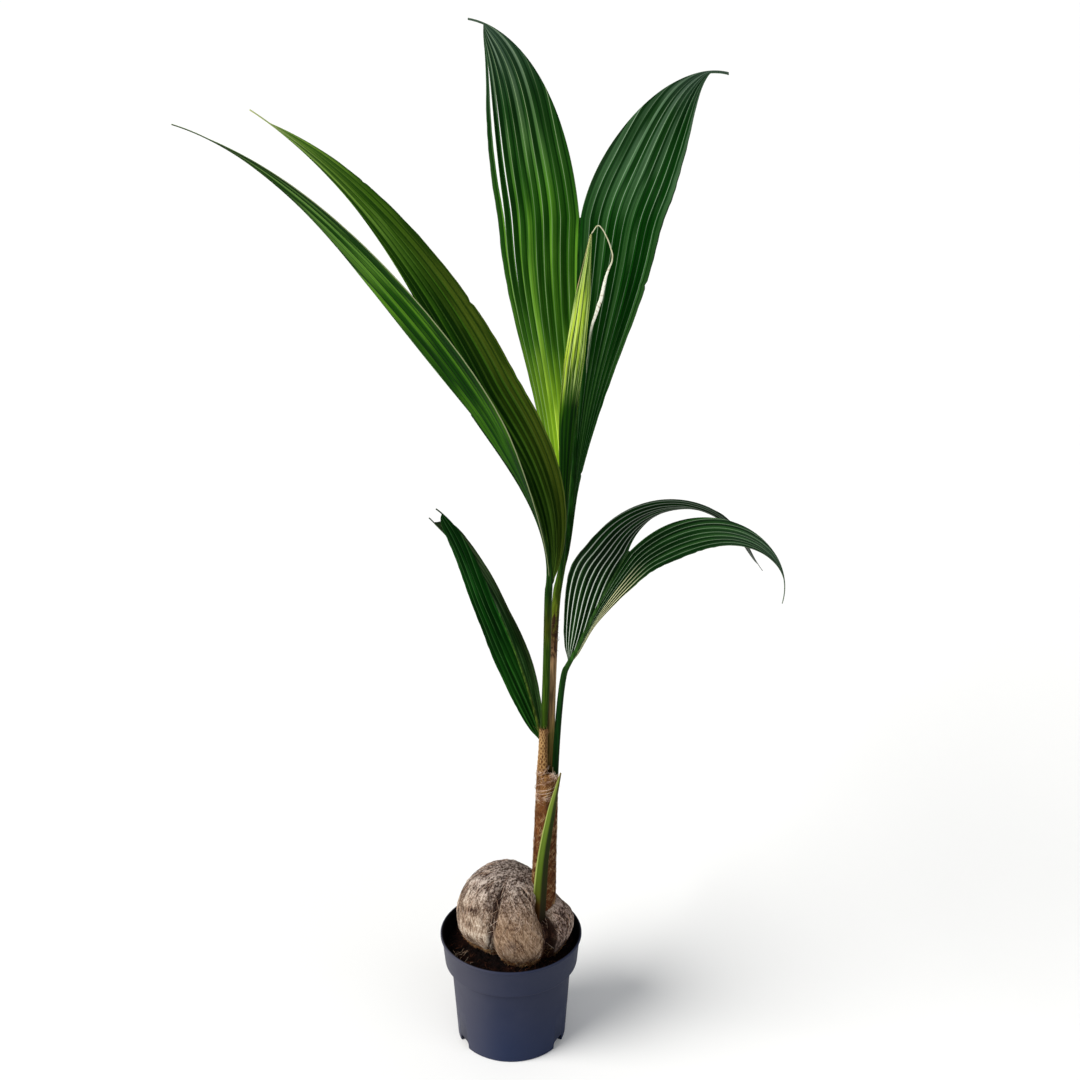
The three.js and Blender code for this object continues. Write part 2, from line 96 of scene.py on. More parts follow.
def smoothPath(corners, count):
    # evenly spaced points of the Catmull-Rom curve through the corners, with its ends carried on
    c = np.array(corners, float)
    c = np.vstack([2 * c[0] - c[1], c, 2 * c[-1] - c[-2]])
    t = np.linspace(0, len(corners) - 1, 40 * len(corners))
    i = np.minimum(t.astype(int), len(corners) - 2)
    f = (t - i)[:, None]
    p0, p1, p2, p3 = c[i], c[i + 1], c[i + 2], c[i + 3]
    curve = 0.5 * (2 * p1 + (p2 - p0) * f + (2 * p0 - 5 * p1 + 4 * p2 - p3) * f**2
                   + (3 * p1 - p0 - 3 * p2 + p3) * f**3)
    far = np.concatenate([[0], np.cumsum(np.linalg.norm(np.diff(curve, axis=0), axis=1))])
    even = np.linspace(0, far[-1], count)
    return np.stack([np.interp(even, far, curve[:, k]) for k in range(3)], axis=1)


def addMesh(name, points, faceSets, material, uv=None, marks=None):
    # points in millimetres; each face set holds corner numbers; uv and marks are one value per point
    corners = np.concatenate([f.ravel() for f in faceSets]).astype(np.int32)
    sizes = np.concatenate([np.full(len(f), f.shape[1]) for f in faceSets])
    starts = np.concatenate([[0], np.cumsum(sizes)[:-1]]).astype(np.int32)
    mesh = bpy.data.meshes.new(name)
    mesh.vertices.add(len(points))
    mesh.vertices.foreach_set("co", (points * mm).astype(np.float32).ravel())
    mesh.loops.add(len(corners))
    mesh.loops.foreach_set("vertex_index", corners)
    mesh.polygons.add(len(sizes))
    mesh.polygons.foreach_set("loop_start", starts)
    mesh.update(calc_edges=True)
    mesh.polygons.foreach_set("use_smooth", np.ones(len(sizes), dtype=bool))
    if uv is not None:
        layer = mesh.uv_layers.new(name="UVMap")
        layer.uv.foreach_set("vector", uv[corners].astype(np.float32).ravel())
    for label, values in (marks or {}).items():
        mark = mesh.attributes.new(label, "FLOAT", "POINT")
        mark.data.foreach_set("value", np.asarray(values, dtype=np.float32).ravel())
    mesh.validate()
    mesh.materials.append(material)
    piece = bpy.data.objects.new(name, mesh)
    bpy.context.scene.collection.objects.link(piece)
    return piece


def install(piece, slotName, *nodes):
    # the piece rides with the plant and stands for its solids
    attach(piece, "root")
    if nodes:
        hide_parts(*nodes)
    return piece


def gridFaces(rows, columns, around=False):
    # quads between neighbours of a grid stored row by row, facing rows x columns
    i = np.arange(rows - 1)[:, None] * columns
    j = np.arange(columns if around else columns - 1)[None, :]
    a, b = i + j, i + (j + 1) % columns
    return np.stack([a, b, b + columns, a + columns], axis=-1).reshape(-1, 4)


def drumFaces(rows, columns):
    # rings joined by quads, with one polygon over the first ring and one over the last
    j = np.arange(columns)[None, :]
    return [gridFaces(rows, columns, around=True), j[:, ::-1], (rows - 1) * columns + j]


def endFans(rows, columns):
    # a fan from the point stored after the last ring to the first ring, and one from the point
    # after that to the last ring
    j = np.arange(columns)
    after = (j + 1) % columns
    foot, top, rim = rows * columns, rows * columns + 1, (rows - 1) * columns
    return np.vstack([np.stack([np.full(columns, foot), after, j], 1),
                      np.stack([np.full(columns, top), rim + j, rim + after], 1)])


def tube(path, halfWidth, halfDepth, sides, relief=0.0):
    # rings of an ellipse square to the path, X half widths by Y half depths, pushed out by the
    # relief (rings x sides); closed by a fan over each end
    ahead = unit(np.gradient(path, axis=0))
    back = unit(np.array([0, 1, 0]) - ahead * ahead[:, 1:2])
    right = np.cross(back, ahead)
    turn = np.linspace(0, 2 * np.pi, sides, endpoint=False)
    wide = halfWidth[:, None] + relief
    deep = halfDepth[:, None] + relief
    rings = (path[:, None] + right[:, None] * (wide * np.cos(turn))[..., None]
             + back[:, None] * (deep * np.sin(turn))[..., None])
    count = len(path)
    points = np.vstack([rings.reshape(-1, 3), path[:1], path[-1:]])
    share = np.linspace(0, 1, count)[:, None]
    uv = np.stack(np.broadcast_arrays(share, turn[None] / (2 * np.pi)), -1)
    uv = np.vstack([uv.reshape(-1, 2), [[0, 0.5], [1, 0.5]]])
    return points, [gridFaces(count, sides, around=True), endFans(count, sides)], uv


def strands(paths, radii):
    # many thin three-sided fibres at once: paths is fibres x steps x 3, radii is fibres x steps
    fibres, steps = paths.shape[:2]
    ahead = unit(np.gradient(paths, axis=1))
    aside = unit(np.cross(ahead, np.array([0.31, 0.87, 0.38])))
    other = np.cross(ahead, aside)
    turn = np.array([0, 2 * np.pi / 3, 4 * np.pi / 3])
    ring = aside[:, :, None] * np.cos(turn)[:, None] + other[:, :, None] * np.sin(turn)[:, None]
    points = (paths[:, :, None] + ring * radii[:, :, None, None]).reshape(-1, 3)
    start = (np.arange(fibres) * steps * 3)[:, None, None]
    quads = (gridFaces(steps, 3, around=True)[None] + start).reshape(-1, 4)
    ends = np.array([[2, 1, 0], [3 * steps - 3, 3 * steps - 2, 3 * steps - 1]])
    return points, [quads, (ends[None] + start).reshape(-1, 3)]


class Finish:
    # a material with a few short ways to add nodes to it; each returns a socket
    def __init__(self, name, roughness, gloss):
        self.material = bpy.data.materials.new(name)
        self.material.use_nodes = True
        self.nodes = self.material.node_tree.nodes
        self.links = self.material.node_tree.links
        self.shader = self.nodes["Principled BSDF"]
        self.shader.inputs["Roughness"].default_value = roughness
        self.shader.inputs["Specular IOR Level"].default_value = gloss

    def put(self, value, socket):
        # links a socket's value, or sets a plain one
        if isinstance(value, bpy.types.NodeSocket):
            self.links.new(value, socket)
        else:
            socket.default_value = value

    def maths(self, operation, a, b=0.0):
        node = self.nodes.new("ShaderNodeMath")
        node.operation = operation
        for value, socket in zip((a, b), node.inputs):
            self.put(value, socket)
        return node.outputs[0]

    def times(self, a, b):
        return self.maths("MULTIPLY", a, b)

    def plus(self, a, b):
        return self.maths("ADD", a, b)

    def minus(self, a, b):
        return self.maths("SUBTRACT", a, b)

    def span(self, value, low, high, toLow=0.0, toHigh=1.0):
        # toLow at low, toHigh at high, a smooth step between
        node = self.nodes.new("ShaderNodeMapRange")
        node.interpolation_type = "SMOOTHSTEP"
        names = ("Value", "From Min", "From Max", "To Min", "To Max")
        for put, name in zip((value, low, high, toLow, toHigh), names):
            self.put(put, node.inputs[name])
        return node.outputs["Result"]

    def blend(self, share, a, b, kind="MIX"):
        # the colour a at share 0 and b at share 1
        node = self.nodes.new("ShaderNodeMix")
        node.data_type = "RGBA"
        node.blend_type = kind
        for value, socket in zip((share, a, b), (node.inputs[0], node.inputs[6], node.inputs[7])):
            self.put((*value, 1.0) if isinstance(value, tuple) else value, socket)
        return node.outputs[2]

    def ragged(self, value, noise, reach):
        # a value moved up or down by a noise, by half the reach at most
        return self.plus(value, self.times(self.minus(noise, 0.5), reach))

    def tinted(self, colour, tint):
        # a colour times another, channel by channel
        return self.blend(1.0, colour, tint, "MULTIPLY")

    def ramp(self, value, stops):
        # colours at places from 0 to 1, straight between them
        node = self.nodes.new("ShaderNodeValToRGB")
        marks = node.color_ramp.elements
        for k, (place, colour) in enumerate(stops):
            mark = marks[k] if k < 2 else marks.new(place)
            mark.position = place
            mark.color = (*colour, 1.0)
        self.put(value, node.inputs[0])
        return node.outputs[0]

    def where(self):
        # the point on the piece, in metres
        return self.nodes.new("ShaderNodeTexCoord").outputs["Object"]

    def parts(self, vector):
        node = self.nodes.new("ShaderNodeSeparateXYZ")
        self.put(vector, node.inputs[0])
        return node.outputs[0], node.outputs[1], node.outputs[2]

    def joined(self, x, y):
        node = self.nodes.new("ShaderNodeCombineXYZ")
        self.put(x, node.inputs[0])
        self.put(y, node.inputs[1])
        return node.outputs[0]

    def stretched(self, vector, scale):
        # the vector times the scale, axis by axis
        node = self.nodes.new("ShaderNodeMapping")
        self.put(vector, node.inputs["Vector"])
        node.inputs["Scale"].default_value = scale
        return node.outputs[0]

    def uv(self):
        # share of the length and place across or around
        node = self.nodes.new("ShaderNodeUVMap")
        node.uv_map = "UVMap"
        return node.outputs[0]

    def mark(self, label):
        # a value that the mesh holds at each point
        node = self.nodes.new("ShaderNodeAttribute")
        node.attribute_name = label
        return node.outputs["Fac"]

    def noise(self, vector, scale=1.0, detail=3.0, rough=0.5):
        # clouds between 0 and 1, mostly near the middle
        node = self.nodes.new("ShaderNodeTexNoise")
        self.put(vector, node.inputs["Vector"])
        for name, value in (("Scale", scale), ("Detail", detail), ("Roughness", rough)):
            node.inputs[name].default_value = value
        return node.outputs["Fac"]

    def clouds(self, x, y, z, detail, rough=0.5):
        # noise over the piece, so many cells to the metre along each axis
        return self.noise(self.stretched(self.where(), (x, y, z)), 1.0, detail, rough)

    def colour(self, value):
        self.put(value, self.shader.inputs["Base Color"])

    def rough(self, value):
        self.put(value, self.shader.inputs["Roughness"])

    def bump(self, height, strength, distance):
        node = self.nodes.new("ShaderNodeBump")
        node.inputs["Strength"].default_value = strength
        node.inputs["Distance"].default_value = distance
        self.put(height, node.inputs["Height"])
        self.links.new(node.outputs[0], self.shader.inputs["Normal"])


# metres, degrees below level, millimetres
view = {"place": (0.039, -1.900, 1.490), "down": 21.8926, "lens": 55.87, "sensor": 36.0}

cameraData = bpy.data.cameras.new("camera")
cameraData.lens = view["lens"]
cameraData.sensor_width = view["sensor"]
camera = bpy.data.objects.new("camera", cameraData)
camera.location = view["place"]
camera.rotation_euler = (math.radians(90 - view["down"]), 0, 0)
bpy.context.scene.collection.objects.link(camera)
bpy.context.scene.camera = camera

# a broad soft key from the left, a weak one from the right, and an even sky; a sun lights the whole
# floor alike, angle is how wide it is in degrees
lamps = {
    "keyLight": {"from": (-0.80, -0.42, 0.62), "strength": 3.9, "angle": 46, "colour": (1.0, 0.985, 0.95)},
    "fillLight": {"from": (0.55, -0.75, 0.60), "strength": 0.7, "angle": 60, "colour": (0.94, 0.97, 1.0)},
}
sky = {"colour": (0.97, 0.985, 1.0), "strength": 0.36}

for lampName, lamp in lamps.items():
    lampData = bpy.data.lights.new(lampName, "SUN")
    lampData.energy = lamp["strength"]
    lampData.angle = math.radians(lamp["angle"])
    lampData.color = lamp["colour"]
    lampObject = bpy.data.objects.new(lampName, lampData)
    back = unit(np.array(lamp["from"]))
    lampObject.rotation_euler = (math.acos(back[2]), 0, math.atan2(back[1], back[0]) + math.pi / 2)
    bpy.context.scene.collection.objects.link(lampObject)

world = bpy.data.worlds.new("studio")
world.use_nodes = True
background = world.node_tree.nodes["Background"]
background.inputs["Color"].default_value = (*sky["colour"], 1.0)
background.inputs["Strength"].default_value = sky["strength"]
bpy.context.scene.world = world
bpy.context.scene.view_settings.view_transform = "Standard"

floorLook = {"size": 40000, "colour": (0.90, 0.90, 0.90)}
floorFinish = Finish("paleFloor", 0.95, 0.1)
floorFinish.colour((*floorLook["colour"], 1.0))
floorPoints = np.array([[-1, -1, 0], [1, -1, 0], [1, 1, 0], [-1, 1, 0]]) * floorLook["size"]
floor = addMesh("floor", floorPoints, [np.array([[0, 1, 2, 3]])], floorFinish.material)
print("camera, lights and floor are set")


# A lean is degrees from +Z towards +X, a depth is degrees away from the front, a roll turns the
# blade about its own length. Values are evenly spaced along the midrib, the free part or the blade.
# rise and fall are the powers of the width's curve and tail is the width left near the tip.
# ribs counts the pleats of a blade and fold says how steep they are from its base to its tip; slits
# are (rib, from, to, width) where a blade has torn along a rib; nicks are (share of the length,
# depth, half length) in its outer margin.
usualLobe = {"slits": (), "nicks": ()}
leaves = {
    "tallLeaf": {
        "node": "tall_leaf",
        "foot": (52.4, 2.4, 404), "footLean": 0, "base": (61.6, 16, 658), "stalkRadii": (5, 5),
        "midrib": {"length": 453, "leans": (12, 1, 3), "depths": (6, 10)},
        "blades": {
            "Left": {
                "nodes": ("left_blade",), "side": -1, "reach": 288, "leans": (-5.5, -17.5, -38.5, -83.5),
                "depths": (10, 16, 28), "rolls": (-57, -50, -20, -9),
                "width": 107, "rise": 0.94, "fall": 0.6, "tail": 5, "ribs": 10, "fold": (0.5, 0.42, 0.24),
                "slits": ((9, 0.6, 0.93, 4.2), (8, 0.46, 0.88, 1.5)), "look": "tallLeft",
            },
            "Right": {
                "nodes": ("right_blade",), "side": 1, "reach": 274, "leans": (10.5, 34.5, 58.5, 107),
                "depths": (10, 16, 28), "rolls": (-32, -5, -33, -32),
                "width": 107, "rise": 2.9, "fall": 1.22, "tail": 7, "ribs": 10, "fold": (0.5, 0.44, 0.3),
                "nicks": ((0.52, 1.6, 4), (0.2, 1.2, 3)), "look": "tallRight",
            },
        },
    },
    "sweepingLeaf": {
        "node": "sweeping_leaf",
        "foot": (43.4, -2.6, 468), "footLean": 4.5, "base": (49.8, -10.4, 666), "stalkRadii": (4.6, 4.6),
        "midrib": {"length": 266, "leans": (5.5, -24.5, -30), "depths": (-8, -14)},
        "blades": {
            "Near": {
                "nodes": ("near_blade",), "side": 1, "reach": 477, "leans": (-34, -32, -39.5, -71.5),
                "depths": (-16, -18, -8), "rolls": (-107, -67, -56, -50),
                "width": 98, "rise": 1.56, "fall": 1.68, "tail": 3, "ribs": 9, "fold": (0.45, 0.36, 0.25),
                "look": "sweepingNear",
            },
            "Far": {
                "nodes": ("far_blade",), "side": 1, "reach": 422, "leans": (-23, -27, -39.5, -58.5),
                "depths": (-4, 4, 8), "rolls": (4, 29, 56, 45),
                "width": 76, "rise": 1.06, "fall": 1.14, "tail": 3, "ribs": 9, "fold": (0.45, 0.34, 0.2),
                "nicks": ((0.545, 2.2, 5), (0.8, 1.4, 4)), "look": "sweepingFar",
                "footTaper": 0.02,
            },
        },
    },
    "archingLeaf": {
        "node": "arching_leaf",
        "foot": (58.4, -7.8, 404), "footLean": 2, "base": (71.5, -9, 556), "stalkRadii": (4.2, 3.7),
        "midrib": {"length": 202, "leans": (24.5, 20.5, 25.5), "depths": (-10, -20)},
        "blades": {
            "Back": {
                "nodes": ("back_blade", "back_tip"), "side": -1, "reach": 243,
                "leans": (15.5, 77, 139.5, 145), "depths": (-6, 10, 14), "rolls": (16, 5, 66, 79),
                "width": 65, "rise": 0.92, "fall": 0.66, "tail": 3, "ribs": 8, "fold": (0.5, 0.42, 0.25),
                "look": "archingBack",
            },
            "Front": {
                "nodes": ("front_blade", "front_tip"), "side": 1, "reach": 275,
                "leans": (33.5, 63.5, 119, 198.5), "depths": (-24, -28, -18),
                "rolls": (-20, -23, -28, -58),
                "width": 42, "rise": 2.34, "fall": 1.7, "tail": 3, "ribs": 8, "fold": (0.5, 0.42, 0.25),
                "look": "archingFront",
            },
        },
    },
    "lowLeaf": {
        "node": "low_leaf",
        "foot": (43, 5, 404), "footLean": 0, "base": (42, 9, 436), "stalkRadii": (3, 2.2),
        "midrib": {"length": 182, "leans": (-10.5, -19, -25), "depths": (14, 20)},
        "blades": {
            "Near": {
                "nodes": ("near_blade",), "side": -1, "reach": 159, "leans": (-26.5, -27.5, -56.5),
                "depths": (17, 13), "rolls": (1, -17, -36, -25),
                "width": 38, "rise": 0.72, "fall": 0.44, "tail": 4, "ribs": 5, "fold": (0.42, 0.34, 0.25),
                "look": "lowNear",
            },
            "Far": {
                "nodes": ("far_blade",), "side": 1, "reach": 158, "leans": (-25, -44, -52.5),
                "depths": (28, 28), "rolls": (40, 68, 90, 76),
                "width": 56, "rise": 1.02, "fall": 0.28, "tail": 4, "ribs": 6, "fold": (0.42, 0.34, 0.25),
                "look": "lowFar",
            },
        },
    },
}

blade = {
    "rows": 300,
    "perRib": 6,  # grid columns from one rib to the next
    "thickness": 0.7,
    "bow": 0.06,  # height of the bow across the blade, as a share of its width
    "footWidth": 6,
    "footTaper": 0.08,  # share of the length over which the foot widens out of the stalk
    "tailAt": 0.97,  # share of the length where the thin tail begins
    "ease": 0.15,  # share of the length over which the turn at the fork is eased, on each side of it
    "parting": 0.3,  # share of the free part over which the lobe leaves the midrib's side
    "insetShare": 0.6,  # how far out the lobe starts, as a share of the midrib's radius
    "ribsLeaving": 0.5,  # share of the ribs that leave the midrib between the base and the fork
    "ribsEnding": 0.3,  # share of the ribs that run out in the inner margin towards the tip
    "waver": 0.35,  # how far the outer margin wanders
    "unevenFolds": 0.35,  # how much the folds differ in height along a blade
    "crumple": 0.4,  # height of the soft dents
    "evening": 0.027,  # share of the length over which bends are evened out, away from the midrib
    "midribTip": 1.1,  # radius of the midrib at the fork
    "stalkPull": (0.33, 0.1),  # how far the stalk keeps its heading at its foot and at its base
}


def heading(lean, depth):
    # the way ahead for a lean and a depth
    a, d = np.radians(lean), np.radians(depth)
    return np.stack([np.sin(a) * np.cos(d), np.sin(d), np.cos(a) * np.cos(d)], axis=-1)


def crossing(lean, depth, roll):
    # the level direction square to the heading, turned towards the blade's back by the roll
    a, r = np.radians(lean), np.radians(roll)[:, None]
    level = np.stack([np.cos(a), np.zeros_like(a), -np.sin(a)], axis=-1)
    return level * np.cos(r) + heading(lean, depth + 90) * np.sin(r)


def follow(start, leans, depths, length, steps):
    # adds up short steps, each along the heading at its middle
    u = (np.arange(steps) + 0.5) / steps
    moves = heading(along(leans, u), along(depths, u)) * (length / steps)
    return np.vstack([start, start + np.cumsum(moves, axis=0)])


def stalkCurve(leaf, count):
    # a cubic curve that rises from the foot at its lean and arrives along the midrib's first heading
    foot, base = np.array(leaf["foot"], float), np.array(leaf["base"], float)
    midrib = leaf["midrib"]
    span = np.linalg.norm(base - foot)
    ahead = heading(np.array(midrib["leans"][0]), np.array(midrib["depths"][0]))
    pullFoot, pullBase = blade["stalkPull"]
    t = np.linspace(0, 1, count)[:, None]
    rising = foot + heading(np.array(leaf["footLean"]), np.array(0)) * span * pullFoot
    arriving = base - ahead * span * pullBase
    return foot * (1 - t)**3 + rising * 3 * t * (1 - t)**2 + arriving * 3 * t**2 * (1 - t) + base * t**3


def bladeRows(leaf, lobe):
    # inner edge, frame and share of the length at each row: down the midrib, then the lobe's own way
    midrib = leaf["midrib"]
    rows = blade["rows"]
    fork = midrib["length"] / (midrib["length"] + lobe["reach"])
    rowsBelow = round(rows * fork)
    base = np.array(leaf["base"], float)
    below = follow(base, midrib["leans"], midrib["depths"], midrib["length"], rowsBelow)
    above = follow(below[-1], lobe["leans"], lobe["depths"], lobe["reach"], rows - rowsBelow)
    i = np.arange(rows + 1)
    before = np.minimum(i / rowsBelow, 1)
    beyond = np.maximum((i - rowsBelow) / (rows - rowsBelow), 0)
    u = fork * before + (1 - fork) * beyond
    turn = rise(fork - blade["ease"], fork + blade["ease"], u)
    lean = mix(along(midrib["leans"], before), along(lobe["leans"], beyond), turn)
    depth = mix(along(midrib["depths"], before), along(lobe["depths"], beyond), turn)
    ahead = heading(lean, depth)
    across = crossing(lean, depth, along(lobe["rolls"], u)) * lobe["side"]
    midribRadius = mix(leaf["stalkRadii"][1], blade["midribTip"], before)
    inset = blade["insetShare"] * midribRadius * (1 - rise(0, blade["parting"], beyond))
    return np.vstack([below, above[1:]]), across, np.cross(ahead, across), inset, u, fork


def bladeWidth(lobe, u):
    # a power curve that swells to the lobe's width, with a narrow foot and a thread-like tail; the
    # foot widens out of the stalk over a share of the length
    b = np.minimum(u / blade["tailAt"], 1)
    peak = lobe["rise"] / (lobe["rise"] + lobe["fall"])
    shape = (b**lobe["rise"] * (1 - b)**lobe["fall"]) / (peak**lobe["rise"] * (1 - peak)**lobe["fall"])
    least = np.where(u < 0.5, blade["footWidth"], lobe["tail"] * (1 - 0.7 * u))
    taper = lobe.get("footTaper", blade["footTaper"])
    return np.maximum(lobe["width"] * shape, least) * rise(-0.01, taper, u)


def evened(middle, fit, u):
    # every column averaged along its length with a bell of weights, but not at the midrib or the ends
    weights = np.exp(-0.5 * ((u[:, None] - u[None, :]) / blade["evening"])**2)
    weights = weights / weights.sum(1, keepdims=True)
    smooth = (weights @ middle.reshape(len(u), -1)).reshape(middle.shape)
    share = rise(0, 0.4, fit) * (rise(0, 0.12, u) * (1 - rise(0.8, 0.95, u)))[:, None]
    return mix(middle, smooth, share[..., None])


def bladeSurface(leaf, lobe, seed):
    # across each row: the width, a low bow, and a fold at every rib; some ribs leave the midrib on
    # the way up, and a torn rib pulls its two sides apart
    edge, across, normal, inset, u, fork = bladeRows(leaf, lobe)
    least = np.maximum(lobe["tail"] / 2 * rise(0, blade["footTaper"], u), 0.2)
    free = np.maximum(bladeWidth(lobe, u) - inset, least)
    marginShift = blade["waver"] * softNoise(u * 60, 0 * u, seed) * rise(8, 30, free)
    for place, cut, halfLength in lobe["nicks"]:
        away = np.abs(u - place) * (leaf["midrib"]["length"] + lobe["reach"]) / halfLength
        marginShift = marginShift - cut * np.clip(1 - away, 0, 1)

    ribs = lobe["ribs"]
    columns = np.arange(ribs * blade["perRib"] + 1) / blade["perRib"]
    leaving = blade["ribsLeaving"] * (1 - np.minimum(u / fork, 1))**2
    leaving = leaving + blade["ribsEnding"] * rise(fork + 0.1, 1, u)
    phase = np.maximum(columns[None, :], ribs * leaving[:, None])
    v = (phase / ribs - leaving[:, None]) / (1 - leaving[:, None])
    pitch = free / (ribs * (1 - leaving))
    fromRib = np.abs(phase - np.round(phase))
    fold = stepped(lobe["fold"], u)
    uGrid = np.broadcast_to(u[:, None], phase.shape)
    uneven = 1 + blade["unevenFolds"] * softNoise(uGrid * 3, np.round(phase) * 1.7, seed + 2)
    height = (fold * pitch)[:, None] * uneven * (0.5 - 2 * fromRib) * rise(0, 0.06, v)
    height = height + blade["crumple"] * softNoise(uGrid * 14, phase * 1.3, seed + 1)
    height = height * rise(3, 12, free)[:, None]

    pieces = []
    slits = sorted(lobe["slits"])
    walls = [0] + [rib * blade["perRib"] for rib, *_ in slits] + [len(columns) - 1]
    torn = [width * np.sin(np.pi * np.clip((u - low) / (high - low), 0, 1))**0.7
            for _, low, high, width in slits]
    gaps = [0 * u] + torn + [0 * u]
    for k in range(len(walls) - 1):
        c = slice(walls[k], walls[k + 1] + 1)
        vs = v[:, c]
        low, high = vs[:, :1], vs[:, -1:]
        shareAcross = np.where(high > low, (vs - low) / np.maximum(high - low, 1e-9), 0)
        pull = (gaps[k] / 2 / free)[:, None]
        push = (gaps[k + 1] / 2 / free)[:, None]
        fit = low + pull + shareAcross * np.maximum(high - low - pull - push, 0.004)
        fit = np.where(high > low, fit, low)
        reach = inset[:, None] + fit * free[:, None]
        lift = 4 * blade["bow"] * fit * (1 - fit) * free[:, None] + height[:, c]
        middle = edge[:, None] + across[:, None] * reach[..., None] + normal[:, None] * lift[..., None]
        shift = marginShift[:, None] * rise(0.86, 1, fit)
        middle = evened(middle, fit, u) + across[:, None] * shift[..., None]
        pieces.append((middle, phase[:, c], fit))
    return pieces, normal, u


def sheetMesh(middle, normal, half, uv, marks):
    # two copies of a grid, half a thickness up and down, joined round the rim; points that fall
    # together are merged and the faces that vanish are dropped
    rows, columns = middle.shape[:2]
    lift = normal[:, None] * half
    points = np.vstack([(middle + lift).reshape(-1, 3), (middle - lift).reshape(-1, 3)])
    grid = gridFaces(rows, columns)
    under = rows * columns
    k = np.arange(rows - 1) * columns
    c = np.arange(columns - 1)
    outer = k + columns - 1
    last = (rows - 1) * columns + c
    rims = [
        np.stack([k, under + k, under + k + columns, k + columns], 1),
        np.stack([outer, outer + columns, under + outer + columns, under + outer], 1),
        np.stack([c, c + 1, under + c + 1, under + c], 1),
        np.stack([last, under + last, under + last + 1, last + 1], 1),
    ]
    quads = np.vstack([grid[:, ::-1], grid + under, *rims])
    triangles = np.vstack([quads[:, [0, 1, 2]], quads[:, [0, 2, 3]]])
    _, first, merged = np.unique(np.round(points, 3), axis=0, return_index=True, return_inverse=True)
    triangles = merged.ravel()[triangles]
    a, b, d = triangles.T
    triangles = triangles[(a != b) & (b != d) & (a != d)]
    flat = np.tile(uv.reshape(-1, 2), (2, 1))[first]
    picked = {label: np.tile(values.ravel(), 2)[first] for label, values in marks.items()}
    return points[first], triangles, flat, picked
